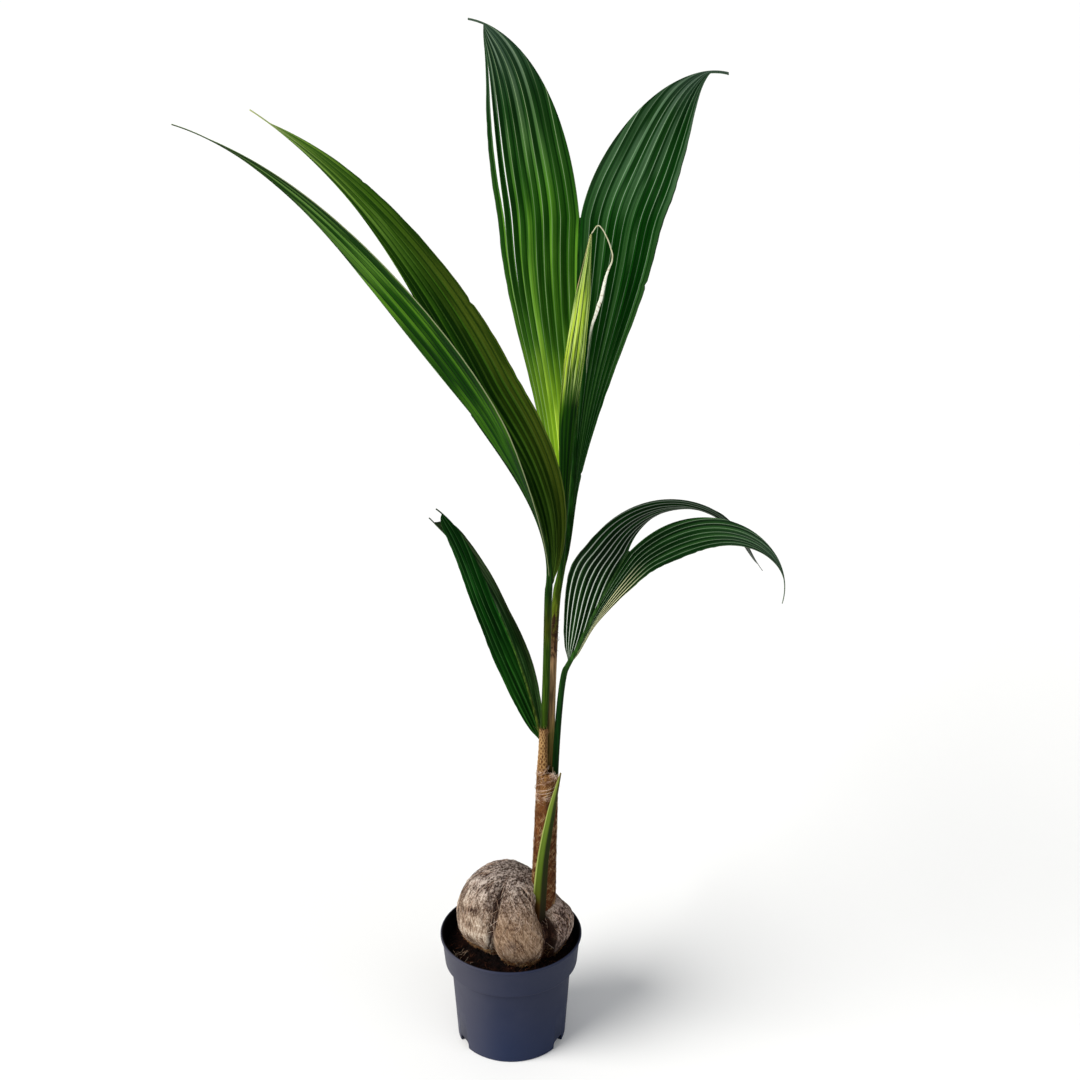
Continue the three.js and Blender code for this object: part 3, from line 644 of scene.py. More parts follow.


# face is the colour from base to tip and bright the painted lit strips on it; rib and ribWidth (share of
# a pleat) are the pale lines, partly the ribs' own colour and partly a painted highlight, ribFade what
# is left of them at the tip and plain how many stay faint; shaded is the side of a pleat that is painted
# darker as shade, 0 beyond each rib and 1 before it; margin lines the outer edge; outer tints the outer
# side by outerShare as far as outerEnds along the length, 2.0 being past the tip; dried is (from share
# across, to share along, colour) of a withered strip
usualLook = {"ribFade": 1.0, "outerEnds": 2.0, "dried": None}
# the grey-blue that face and bright take at the tips of the tall and arching blades is a painted reflection
# of the sky
looks = {
    "tallLeft": {
        # the bright lime near the foot of this blade is painted light shining through it
        "face": ((0.0, (0.46, 0.66, 0.024)), (0.14, (0.42, 0.62, 0.024)), (0.26, (0.24, 0.42, 0.020)),
                 (0.4, (0.050, 0.145, 0.009)), (0.6, (0.016, 0.078, 0.004)), (0.82, (0.008, 0.040, 0.006)),
                 (1.0, (0.030, 0.055, 0.040))),
        "bright": ((0.0, (0.62, 0.82, 0.08)), (0.26, (0.48, 0.68, 0.07)), (0.45, (0.15, 0.33, 0.03)),
                   (0.65, (0.055, 0.175, 0.012)), (0.82, (0.055, 0.11, 0.045)), (1.0, (0.15, 0.20, 0.16))),
        "rib": (0.34, 0.46, 0.24), "ribWidth": 0.045, "plain": 0.5, "shaded": 1,
        "margin": (0.03, 0.05, 0.03), "outer": (0.006, 0.045, 0.006), "outerShare": 0.5,
    },
    "tallRight": {
        "face": ((0.0, (0.010, 0.045, 0.004)), (0.25, (0.005, 0.045, 0.003)), (0.6, (0.003, 0.040, 0.002)),
                 (0.85, (0.008, 0.040, 0.007)), (1.0, (0.05, 0.08, 0.06))),
        "bright": ((0.0, (0.06, 0.13, 0.025)), (0.3, (0.04, 0.12, 0.022)), (0.62, (0.028, 0.10, 0.022)),
                   (0.85, (0.075, 0.14, 0.075)), (1.0, (0.14, 0.19, 0.15))),
        "rib": (0.32, 0.45, 0.30), "ribWidth": 0.05, "plain": 0.45, "shaded": 0,
        "margin": (0.010, 0.022, 0.012), "outer": (0.001, 0.036, 0.001), "outerShare": 0.7,
    },
    "sweepingNear": {
        "face": ((0.0, (0.006, 0.038, 0.003)), (0.25, (0.006, 0.045, 0.002)), (0.6, (0.010, 0.058, 0.002)),
                 (0.85, (0.012, 0.045, 0.005)), (1.0, (0.008, 0.009, 0.010))),
        "bright": ((0.0, (0.03, 0.09, 0.008)), (0.3, (0.045, 0.15, 0.008)), (0.6, (0.09, 0.23, 0.014)),
                   (0.85, (0.13, 0.24, 0.06)), (1.0, (0.02, 0.02, 0.022))),
        "rib": (0.16, 0.30, 0.06), "ribWidth": 0.05, "plain": 0.5, "shaded": 0,
        "margin": (0.30, 0.33, 0.17), "outer": (0.003, 0.022, 0.002), "outerShare": 0.4,
    },
    "sweepingFar": {
        "face": ((0.0, (0.024, 0.062, 0.005)), (0.22, (0.016, 0.052, 0.003)), (0.35, (0.012, 0.054, 0.002)),
                 (0.55, (0.012, 0.056, 0.002)), (0.78, (0.055, 0.14, 0.008)), (0.93, (0.16, 0.28, 0.04)),
                 (1.0, (0.55, 0.56, 0.25))),
        "bright": ((0.0, (0.12, 0.22, 0.025)), (0.24, (0.07, 0.16, 0.014)), (0.34, (0.05, 0.13, 0.008)),
                   (0.6, (0.06, 0.17, 0.010)), (0.85, (0.22, 0.38, 0.06)), (1.0, (0.55, 0.56, 0.33))),
        "rib": (0.14, 0.25, 0.05), "ribWidth": 0.045, "plain": 0.55, "shaded": 0,
        "margin": (0.035, 0.035, 0.02), "outer": (0.105, 0.15, 0.014), "outerShare": 0.85,
        "outerEnds": 0.8,
    },
    "archingBack": {
        "face": ((0.0, (0.008, 0.040, 0.005)), (0.3, (0.0015, 0.018, 0.0015)), (0.7, (0.002, 0.022, 0.002)),
                 (1.0, (0.015, 0.035, 0.018))),
        "bright": ((0.0, (0.03, 0.09, 0.02)), (0.4, (0.014, 0.056, 0.010)), (1.0, (0.05, 0.085, 0.05))),
        "rib": (0.90, 0.98, 0.86), "ribWidth": 0.105, "ribFade": 0.22, "plain": 0.15, "shaded": 0,
        "margin": (0.05, 0.07, 0.05), "outer": (0.001, 0.018, 0.001), "outerShare": 0.3,
    },
    "archingFront": {
        "face": ((0.0, (0.008, 0.040, 0.005)), (0.3, (0.002, 0.022, 0.002)), (0.7, (0.004, 0.026, 0.004)),
                 (1.0, (0.04, 0.065, 0.045))),
        "bright": ((0.0, (0.04, 0.10, 0.02)), (0.4, (0.013, 0.060, 0.009)), (0.75, (0.020, 0.065, 0.016)),
                   (1.0, (0.09, 0.13, 0.10))),
        "rib": (0.62, 0.80, 0.56), "ribWidth": 0.060, "ribFade": 0.35, "plain": 0.2, "shaded": 0,
        "margin": (0.10, 0.12, 0.07), "outer": (0.004, 0.028, 0.004), "outerShare": 0.3,
        "dried": (0.35, 0.44, (0.66, 0.64, 0.38)),
    },
    "lowNear": {
        "face": ((0.0, (0.006, 0.035, 0.003)), (0.5, (0.001, 0.022, 0.0008)), (1.0, (0.0012, 0.018, 0.0015))),
        "bright": ((0.0, (0.02, 0.09, 0.010)), (0.5, (0.004, 0.045, 0.003)), (1.0, (0.010, 0.040, 0.010))),
        "rib": (0.07, 0.17, 0.05), "ribWidth": 0.045, "plain": 0.5, "shaded": 1,
        "margin": (0.02, 0.05, 0.02), "outer": (0.001, 0.034, 0.001), "outerShare": 0.4,
    },
    "lowFar": {
        "face": ((0.0, (0.024, 0.080, 0.012)), (0.5, (0.010, 0.044, 0.007)), (1.0, (0.020, 0.045, 0.014))),
        "bright": ((0.0, (0.06, 0.16, 0.03)), (0.5, (0.055, 0.12, 0.04)), (1.0, (0.10, 0.13, 0.06))),
        "rib": (0.24, 0.36, 0.16), "ribWidth": 0.05, "plain": 0.45, "shaded": 1,
        "margin": (0.07, 0.08, 0.035), "outer": (0.040, 0.056, 0.018), "outerShare": 0.7,
    },
}


def leafFinish(name, look):
    # each pleat has two sides and each side its own tone, bright or dark, that changes slowly along
    # the leaf, one side a little darker as painted shade; painted shade in the valleys, pale and uneven
    # along the ribs with a painted highlight, lined at the outer edge
    f = Finish(name, 0.45, 0.02)
    lengthShare, phase, _ = f.parts(f.uv())
    fromRib = f.maths("PINGPONG", phase, 0.5)
    pleatSide = f.maths("FLOOR", f.times(phase, 2.0))
    across = f.mark("across")
    streaks = f.noise(f.stretched(f.uv(), (7.0, 9.0, 1.0)), 1.0, 4.0, 0.65)
    tones = f.noise(f.joined(f.times(lengthShare, 3.2), f.times(pleatSide, 5.3)), 1.0, 2.0, 0.55)
    strength = f.noise(f.joined(f.times(lengthShare, 4.5), f.times(f.maths("ROUND", phase), 7.7)))
    # painted shade: one side of each pleat is a little darker, the other a little lighter
    shade = f.maths("ABSOLUTE", f.minus(f.maths("FRACT", f.times(pleatSide, 0.5)), 0.5 * look["shaded"]))
    tones = f.plus(tones, f.span(shade, 0.1, 0.4, -0.05, 0.05))
    face = f.ramp(lengthShare, look["face"])
    ends, share = look["outerEnds"], look["outerShare"]
    outer = f.times(f.span(across, 0.35, 1.0), f.span(lengthShare, ends - 0.25, ends, share, 0.0))
    face = f.blend(outer, face, look["outer"])
    face = f.blend(f.span(tones, 0.50, 0.66, 0.0, 0.9), face, f.ramp(lengthShare, look["bright"]))
    # painted shade: darker towards the valley of each pleat and on the dark tones
    valleyShade = f.tinted(face, (0.15, 0.32, 0.20))
    face = f.blend(f.span(tones, 0.50, 0.36, 0.0, 0.8), face, valleyShade)
    face = f.blend(f.span(fromRib, 0.28, 0.48, 0.0, 0.9), face, valleyShade)
    dark = f.tinted(face, (0.45, 0.5, 0.45))
    face = f.blend(f.span(streaks, 0.5, 0.3, 0.0, 0.7), face, dark)
    # paler, greyer random streaks, partly a painted sheen
    face = f.blend(f.span(streaks, 0.5, 0.8, 0.0, 0.6), face, f.tinted(face, (2.2, 1.9, 1.7)))
    # pale rib lines, partly the ribs' own colour and partly a painted highlight
    line = f.span(fromRib, 0.4 * look["ribWidth"], look["ribWidth"], 0.85, 0.0)
    faint = 0.1 + 0.6 * look["plain"]
    line = f.times(line, f.span(strength, faint, faint + 0.2, 0.18, 1.0))
    line = f.times(line, f.span(lengthShare, 0.25, 0.6, 1.0, look["ribFade"]))
    face = f.blend(line, face, look["rib"])
    if look["dried"]:
        acrossFrom, alongTo, driedColour = look["dried"]
        strip = f.times(f.span(across, acrossFrom, acrossFrom + 0.12),
                        f.span(lengthShare, alongTo, 0.6 * alongTo))
        strip = f.times(strip, f.span(fromRib, 0.11, 0.20, 1.0, 0.0))
        face = f.blend(strip, face, driedColour)
    veins = f.maths("PINGPONG", f.times(phase, 4.0), 0.5)
    face = f.blend(f.span(veins, 0.05, 0.2, 0.45, 0.0), face, dark)
    edge = f.times(f.span(across, 0.985, 0.999, 0.0, 0.8), f.span(lengthShare, 0.8, 0.92, 1.0, 0.0))
    f.colour(f.blend(edge, face, look["margin"]))
    f.rough(f.span(streaks, 0.3, 0.8, 0.36, 0.50))
    f.bump(f.plus(f.times(line, 0.5), streaks), 0.35, 0.0006)
    return f.material


# height in metres and colour, from the foot of the stalk up; frayed is the stretch between two
# heights where dark scraps of sheath cling to it
stalkLooks = {
    "tallLeaf": {
        "colours": (
            (0.405, (0.13, 0.085, 0.025)), (0.46, (0.13, 0.10, 0.024)), (0.49, (0.23, 0.145, 0.065)),
            (0.555, (0.30, 0.185, 0.095)), (0.585, (0.13, 0.07, 0.03)), (0.60, (0.10, 0.085, 0.015)),
            (0.63, (0.085, 0.12, 0.008)), (0.665, (0.040, 0.085, 0.006)), (0.70, (0.006, 0.035, 0.003)),
            (1.0, (0.006, 0.040, 0.003))),
        "frayed": (0.568, 0.618),
    },
    "sweepingLeaf": {
        "colours": (
            (0.47, (0.022, 0.050, 0.003)), (0.58, (0.018, 0.045, 0.003)), (0.61, (0.032, 0.042, 0.003)),
            (0.66, (0.008, 0.034, 0.003)), (0.9, (0.008, 0.035, 0.003))),
        "frayed": None,
    },
    "archingLeaf": {
        "colours": (
            (0.41, (0.001, 0.012, 0.001)), (0.50, (0.002, 0.018, 0.002)), (0.54, (0.008, 0.035, 0.005)),
            (0.58, (0.018, 0.060, 0.008)), (0.75, (0.03, 0.07, 0.02))),
        "frayed": None,
    },
    "lowLeaf": {
        "colours": ((0.41, (0.10, 0.07, 0.02)), (0.45, (0.045, 0.065, 0.008)), (0.6, (0.02, 0.07, 0.010))),
        "frayed": None,
    },
}


def stalkFinish(name, look):
    # colour by a ragged height, with fine streaks up the stalk, pale bands painted as highlights and dark
    # scraps where it is frayed
    f = Finish(name, 0.5, 0.03)
    colours = look["colours"]
    low, high = colours[0][0], colours[-1][0]
    _, _, z = f.parts(f.where())
    place = f.ragged(z, f.clouds(320, 320, 22, 3.0), 0.03)
    share = f.maths("DIVIDE", f.minus(place, low), high - low)
    colour = f.ramp(share, tuple(((h - low) / (high - low), c) for h, c in colours))
    streaks = f.clouds(900, 900, 25, 3.0, 0.6)
    bands = f.clouds(330, 330, 8, 2.0, 0.5)
    # pale bands, painted highlights along the stalk
    colour = f.blend(f.span(bands, 0.46, 0.36, 0.0, 0.7), colour, f.tinted(colour, (2.0, 1.9, 1.8)))
    dark = f.tinted(colour, (0.35, 0.38, 0.35))
    colour = f.blend(f.span(bands, 0.52, 0.62, 0.0, 0.75), colour, dark)
    colour = f.blend(f.span(streaks, 0.42, 0.68, 0.0, 0.7), colour, dark)
    if look["frayed"]:
        bottom, top = look["frayed"]
        scraps = f.clouds(420, 420, 130, 4.0, 0.7)
        zone = f.times(f.span(place, bottom - 0.006, bottom), f.span(place, top, top + 0.006, 1.0, 0.0))
        scraps = f.times(zone, f.span(scraps, 0.44, 0.54))
        colour = f.blend(f.times(scraps, 0.9), colour, (0.030, 0.010, 0.008))
    f.colour(colour)
    f.bump(streaks, 0.45, 0.0006)
    return f.material


# ridges are their number and height and channel is its depth and spread, as shares of the radius;
# slimming is the power by which the midrib thins towards the fork
stalkShape = {
    "rowsBelow": 60, "rowsAbove": 80, "sides": 24,
    "ridges": (6, 0.04), "channel": (0.14, 0.5), "slimming": 0.55,
}


def makeStalk(leafName, leaf):
    # a round limb from the foot to the fork, with fine ridges and a channel down its front
    midrib = leaf["midrib"]
    rowsBelow, rowsAbove, sides = (stalkShape[k] for k in ("rowsBelow", "rowsAbove", "sides"))
    below = stalkCurve(leaf, rowsBelow)
    above = follow(below[-1], midrib["leans"], midrib["depths"], midrib["length"], rowsAbove)
    footRadius, baseRadius = leaf["stalkRadii"]
    slimming = np.linspace(0, 1, rowsAbove + 1)[1:]**stalkShape["slimming"]
    radius = np.concatenate([np.linspace(footRadius, baseRadius, rowsBelow),
                             mix(baseRadius, blade["midribTip"], slimming)])
    turn = np.linspace(0, 2 * np.pi, sides, endpoint=False)
    (ridgeCount, ridgeHeight), (channelDepth, channelSpread) = stalkShape["ridges"], stalkShape["channel"]
    channel = channelDepth * np.exp(-((turn - frontTurn) / channelSpread)**2)
    relief = radius[:, None] * (ridgeHeight * np.cos(ridgeCount * turn) - channel)[None]
    path = np.vstack([below, above[1:]])
    points, faces, uv = tube(path, radius, radius, sides, relief)
    finish = stalkFinish(leafName + "StalkFinish", stalkLooks[leafName])
    install(addMesh(leafName + "Stalk", points, faces, finish, uv), "leaf_stalk", leaf["node"] + "_stalk")


def makeBlade(leafName, leaf, lobeName, lobe, seed):
    # the strips of one lobe as thin closed sheets, joined in one mesh
    pieces, normal, u = bladeSurface(leaf, lobe, seed)
    half = blade["thickness"] / 2
    allPoints, allFaces, allUv, allAcross, start = [], [], [], [], 0
    for middle, phase, fit in pieces:
        uvGrid = np.stack([np.broadcast_to(u[:, None], phase.shape), phase], -1)
        points, triangles, flat, picked = sheetMesh(middle, normal, half, uvGrid, {"across": fit})
        allPoints.append(points)
        allFaces.append(triangles + start)
        allUv.append(flat)
        allAcross.append(picked["across"])
        start += len(points)
    finish = leafFinish(leafName + lobeName + "Finish", usualLook | looks[lobe["look"]])
    piece = addMesh(leafName + lobeName + "Blade", np.vstack(allPoints), [np.vstack(allFaces)], finish,
                    np.vstack(allUv), {"across": np.concatenate(allAcross)})
    install(piece, "leaf_blade", *(leaf["node"] + "_" + node for node in lobe["nodes"]))


for leafNumber, (leafName, leaf) in enumerate(leaves.items()):
    makeStalk(leafName, leaf)
    for lobeNumber, (lobeName, lobe) in enumerate(leaf["blades"].items()):
        makeBlade(leafName, leaf, lobeName, usualLobe | lobe, 20 * leafNumber + 5 * lobeNumber)
    print(leafName, "is made")


spear = {
    "path": ((64.9, 8.4, 655), (68.5, 10.5, 790), (73, 12, 890), (83.5, 12, 985), (97.5, 12, 1099)),
    "halfWidths": (3.4, 4.2, 6.5, 10.5, 11.8, 9, 1.1),
    "halfDepths": (2.6, 2.8, 3.4, 4.2, 4.4, 3.6, 1.1),
    "rows": 200, "sides": 72, "folds": 11, "foldDepth": 1.0,
    "footShare": 0.15, "footTaper": 0.14,  # share of its width at the foot, share of its length to open in
    # the near-black green over the lower half is a painted shadow
    "colours": ((0.0, (0.002, 0.016, 0.001)), (0.54, (0.003, 0.024, 0.002)), (0.60, (0.06, 0.16, 0.006)),
                (0.68, (0.34, 0.50, 0.010)), (0.78, (0.44, 0.60, 0.020)), (0.88, (0.34, 0.48, 0.05)),
                (0.96, (0.11, 0.22, 0.03)), (1.0, (0.40, 0.30, 0.16))),
}


def makeSpear():
    # a flat spindle of folded leaflets that opens out of the stalk, with ridges round it that flatten
    # where it is slim; its colour has a painted shadow low down, painted shade on its right and in its
    # folds, and painted highlights above
    path = smoothPath(spear["path"], spear["rows"])
    share = np.linspace(0, 1, spear["rows"])
    turn = np.linspace(0, 1, spear["sides"], endpoint=False)
    opening = mix(spear["footShare"], 1, rise(0, spear["footTaper"], share))
    width = stepped(spear["halfWidths"], share) * opening
    ridges = spear["foldDepth"] * (np.abs(((turn * spear["folds"]) % 1) - 0.5) * 2 - 0.7)
    relief = rise(3, 8, width)[:, None] * ridges[None]
    depth = stepped(spear["halfDepths"], share) * opening
    points, faces, uv = tube(path, width, depth, spear["sides"], relief)
    f = Finish("spearFinish", 0.45, 0.03)
    lengthShare, roundShare, _ = f.parts(f.uv())
    fromFold = f.maths("PINGPONG", f.times(roundShare, spear["folds"]), 0.5)
    streaks = f.noise(f.stretched(f.uv(), (6, 60, 1)), 1.0, 4.0, 0.6)
    strips = f.noise(f.stretched(f.uv(), (3, 14, 1)), 1.0, 2.0, 0.5)
    body = f.ramp(f.plus(lengthShare, f.span(roundShare, 0.52, 0.72, 0.14, 0.0)), spear["colours"])
    # painted shade darkens the right side
    shadedRightSide = f.span(roundShare, 0.76, 0.84, 0.0, 0.7)
    body = f.blend(shadedRightSide, body, f.tinted(body, (0.22, 0.36, 0.45)))
    body = f.blend(f.span(strips, 0.53, 0.42, 0.0, 0.85), body, (0.009, 0.045, 0.002))
    # painted shade in the folds
    body = f.blend(f.span(fromFold, 0.28, 0.44, 0.0, 0.85), body, (0.012, 0.060, 0.002))
    # pale lit streaks, painted highlights
    lit = f.times(f.span(streaks, 0.48, 0.66, 0.0, 0.75), f.span(lengthShare, 0.52, 0.66))
    f.colour(f.blend(lit, body, (0.78, 0.94, 0.32)))
    f.bump(streaks, 0.3, 0.0006)
    install(addMesh("spearLeaf", points, faces, f.material, uv), "young_leaf", "spear_leaf")


thread = {
    "path": ((98, 12, 1099.9), (107, 10, 1109), (120, 10, 1085), (121.8, 10, 1070), (115, 10, 1049),
             (109, 10, 1022), (101.5, 10, 998), (96.5, 10.5, 972), (93.5, 11, 935)),
    "halfWidths": (0.6, 0.7, 0.8, 1.7, 2.2, 1.4, 0.7, 0.3), "halfDepth": 0.3, "rows": 200, "kink": 0.4,
}


def makeThread():
    # the dried edge of the youngest leaf: a flat ribbon on a loop, kinked a little and thinning out,
    # olive at first, pale round the loop and green in its tail
    path = smoothPath(thread["path"], thread["rows"])
    share = np.linspace(0, 1, thread["rows"])
    path = path + thread["kink"] * rise(0, 0.1, share)[:, None] * np.stack(
        [softNoise(share * 26, 0 * share, 71), softNoise(share * 26, 0 * share, 72), 0 * share], 1)
    halfWidths = stepped(thread["halfWidths"], share)
    points, faces, uv = tube(path, halfWidths, 0 * share + thread["halfDepth"], 8)
    f = Finish("dryFinish", 0.8, 0.2)
    tone = f.noise(f.where(), 300, 3.0)
    lengthShare, _, _ = f.parts(f.uv())
    body = f.ramp(tone, ((0.30, (0.42, 0.36, 0.24)), (0.5, (0.82, 0.81, 0.70))))
    body = f.blend(f.span(lengthShare, 0.28, 0.40, 0.65, 0.0), body, (0.36, 0.34, 0.15))
    f.colour(f.blend(f.span(lengthShare, 0.62, 0.80, 0.0, 0.85), body, (0.07, 0.11, 0.04)))
    f.bump(tone, 0.3, 0.0005)
    install(addMesh("driedThread", points, faces, f.material, uv), "dry_leaf", "dried_thread")


scale = {
    "path": ((36.5, -37, 200), (42.5, -30.5, 288), (54, -24.5, 360), (65.5, -20, 413)),
    "halfWidths": (9, 8.6, 7, 5.2, 1), "halfDepth": 2.4, "rows": 160, "sides": 48,
    "keel": 2.2, "keelSpread": 0.4,  # height in millimetres and spread in radians
    # painted lit and painted shaded colours left and right of the keel
    "lit": ((0.0, (0.045, 0.012, 0.004)), (0.12, (0.055, 0.026, 0.005)), (0.17, (0.050, 0.060, 0.005)),
            (0.35, (0.055, 0.095, 0.007)), (0.75, (0.085, 0.135, 0.014)), (0.95, (0.14, 0.17, 0.03)),
            (1.0, (0.16, 0.09, 0.04))),
    "shaded": ((0.0, (0.012, 0.007, 0.002)), (0.15, (0.014, 0.014, 0.002)), (0.7, (0.014, 0.026, 0.002)),
               (1.0, (0.06, 0.06, 0.01))),
}


def makeScaleLeaf():
    # a flat spike with a ridge down its front, left of the middle, and a pale left edge
    path = smoothPath(scale["path"], scale["rows"])
    share = np.linspace(0, 1, scale["rows"])
    turn = np.linspace(0, 2 * np.pi, scale["sides"], endpoint=False)
    keel = scale["keel"] * np.exp(-((turn - frontTurn) / scale["keelSpread"])**2)
    width = stepped(scale["halfWidths"], share)
    relief = rise(0.5, 6, width)[:, None] * keel[None]
    points, faces, uv = tube(path, width, scale["halfDepth"] * (1 - 0.6 * share), scale["sides"], relief)
    f = Finish("scaleFinish", 0.48, 0.06)
    lengthShare, roundShare, _ = f.parts(f.uv())
    streaks = f.noise(f.stretched(f.uv(), (4, 50, 1)), 1.0, 4.0, 0.6)
    lit, shaded = f.ramp(lengthShare, scale["lit"]), f.ramp(lengthShare, scale["shaded"])
    body = f.blend(f.span(roundShare, 0.74, 0.79), lit, shaded)
    fromLeft = f.maths("ABSOLUTE", f.minus(roundShare, 0.56))
    edge = f.times(f.span(fromLeft, 0.02, 0.07, 0.75, 0.0), f.span(lengthShare, 0.12, 0.3))
    body = f.blend(edge, body, (0.32, 0.36, 0.10))
    dark = f.tinted(body, (0.5, 0.5, 0.5))
    f.colour(f.blend(f.span(streaks, 0.45, 0.75, 0.0, 0.5), body, dark))
    f.bump(streaks, 0.3, 0.0006)
    install(addMesh("scaleLeaf", points, faces, f.material, uv), "young_leaf", "scale_leaf")


makeSpear()
makeThread()
makeScaleLeaf()
print("young leaves are made")


# threads is how many cross round the stem, pitch the height in which one moves on to the next one's
# place, uprights how many stand between them and weave how much of the net shows, against uprights
sheaths = {
    "lowerSheath": {
        "node": "lower_sheath", "foot": (41.5, -19, 168), "top": (48.8, -4, 404),
        "halfWidths": (16, 15.8, 15, 14.2, 13.6), "halfDepths": (14.5, 14, 13.5, 13, 12.5),
        "rows": 460, "sides": 160, "threads": 30, "uprights": 46, "pitch": 4.4, "weave": 0.45,
    },
    "upperSheath": {
        "node": "upper_sheath", "foot": (42.2, -4.5, 404), "top": (43.4, -2.6, 468),
        "halfWidths": (6.9, 5.7, 5), "halfDepths": (8, 7, 5.8),
        "rows": 150, "sides": 90, "threads": 8, "uprights": 46, "pitch": 7.5, "weave": 1.0,
    },
}


def weaveAt(turnShare, height, sheath, seed):
    # two crossing sets of slanting threads and one of upright ones; 0 in the gaps and 1 on a thread
    threads, pitch = sheath["threads"], sheath["pitch"]
    wander = 0.3 * softNoise(turnShare * 12, height / 14, seed, 12)
    first = np.abs(((turnShare * threads + height / pitch + wander) % 1) - 0.5) * 2
    second = np.abs(((turnShare * threads - height / pitch + wander) % 1) - 0.5) * 2
    upright = turnShare * sheath["uprights"] + 0.8 * softNoise(turnShare * 16, height / 30, seed + 1, 16)
    lines = np.abs((upright % 1) - 0.5) * 2
    return np.maximum(first**3, second**3), lines**2


def sheathFinish():
    # tan above and red-brown below, pale on the threads and darker in the gaps of the weave, with
    # painted shade on the right, dark streaks and ragged patches
    f = Finish("sheathFinish", 0.85, 0.05)
    x, _, z = f.parts(f.where())
    patches = f.clouds(90, 90, 26, 4.0, 0.6)
    hairs = f.clouds(700, 700, 130, 4.0, 0.65)
    weave = f.mark("weave")
    place = f.ragged(z, patches, 0.05)
    share = f.maths("DIVIDE", f.minus(place, 0.19), 0.29)
    body = f.ramp(share, (
        (0.0, (0.095, 0.024, 0.007)), (0.25, (0.13, 0.042, 0.011)), (0.55, (0.165, 0.060, 0.018)),
        (0.68, (0.22, 0.095, 0.030)), (0.78, (0.34, 0.19, 0.070)), (1.0, (0.38, 0.235, 0.095))))
    streaks = f.clouds(260, 260, 12, 3.0, 0.6)
    body = f.blend(f.span(streaks, 0.48, 0.62, 0.0, 0.8), body, (0.048, 0.011, 0.004))
    body = f.blend(f.span(patches, 0.54, 0.70, 0.0, 0.45), body, (0.075, 0.022, 0.008))
    body = f.blend(f.span(weave, 0.1, 0.5, 0.8, 0.0), body, (0.075, 0.024, 0.008))
    body = f.blend(f.span(weave, 0.6, 1.0, 0.0, 0.7), body, (0.37, 0.24, 0.11))
    # painted shade on the right side, below the top of the lower sheath
    shadedRightSide = f.times(f.span(x, 0.048, 0.059, 0.0, 0.6), f.span(z, 0.37, 0.40, 1.0, 0.0))
    body = f.blend(shadedRightSide, body, (0.040, 0.012, 0.005))
    dark = f.tinted(body, (0.4, 0.36, 0.34))
    f.colour(f.blend(f.span(hairs, 0.5, 0.34, 0.0, 0.8), body, dark))
    f.bump(hairs, 0.5, 0.0006)
    return f.material


sheathMaterial = sheathFinish()
for sheathName, sheath in sheaths.items():
    rows, sides = sheath["rows"], sheath["sides"]
    share = np.linspace(0, 1, rows)
    path = mix(np.array(sheath["foot"], float), np.array(sheath["top"], float), share[:, None])
    turnShare = np.arange(sides)[None, :] / sides + 0 * share[:, None]
    height = path[:, 2:] + 0 * turnShare
    net, lines = weaveAt(turnShare, height, sheath, 3)
    netShare = np.maximum(sheath["weave"], rise(345, 385, height))  # the net shows more towards the top
    weave = np.clip(net * netShare + lines * (1 - 0.85 * netShare), 0, 1)
    lumps = softNoise(turnShare * 6, height / 26, 8, 6)
    relief = 0.6 * weave + 0.5 * lumps - 0.35
    halfWidths, halfDepths = stepped(sheath["halfWidths"], share), stepped(sheath["halfDepths"], share)
    points, faces, uv = tube(path, halfWidths, halfDepths, sides, relief)
    marks = {"weave": np.append(weave.ravel(), [0.3, 0.3])}
    install(addMesh(sheathName, points, faces, sheathMaterial, uv, marks), "fibre_sheath", sheath["node"])


def fibreFinish(name, dark, middle, light):
    # three tones that change from fibre to fibre and slowly along each
    f = Finish(name, 0.85, 0.1)
    tone = f.noise(f.where(), 130, 2.0)
    f.colour(f.ramp(tone, ((0.34, dark), (0.5, middle), (0.66, light))))
    return f.material


fibreTones = {
    "stem": ((0.060, 0.018, 0.007), (0.22, 0.105, 0.042), (0.46, 0.30, 0.15)),
    "pale": ((0.28, 0.15, 0.09), (0.56, 0.40, 0.30), (0.78, 0.66, 0.55)),
    "dark": ((0.012, 0.005, 0.005), (0.045, 0.018, 0.012), (0.14, 0.07, 0.04)),
    "soil": ((0.003, 0.001, 0.001), (0.022, 0.006, 0.003), (0.10, 0.040, 0.022)),
    "root": ((0.14, 0.085, 0.055), (0.32, 0.23, 0.16), (0.50, 0.40, 0.30)),
}
fibreMaterials = {tone: fibreFinish(tone + "Fibres", *colours) for tone, colours in fibreTones.items()}


def sheathSurface(angle, z, out):
    # points at an angle round the stem and a height, held off its surface by out
    lower, upper = sheaths["lowerSheath"], sheaths["upperSheath"]
    points = []
    for sheath in (lower, upper):
        (x0, y0, z0), (x1, y1, z1) = sheath["foot"], sheath["top"]
        s = np.clip((z - z0) / (z1 - z0), 0, 1)
        wide = stepped(sheath["halfWidths"], s) + out
        deep = stepped(sheath["halfDepths"], s) + out
        x, y = mix(x0, x1, s) + wide * np.cos(angle), mix(y0, y1, s) + deep * np.sin(angle)
        points.append(np.stack([x, y, z], -1))
    return np.where((z < lower["top"][2])[..., None], *points)


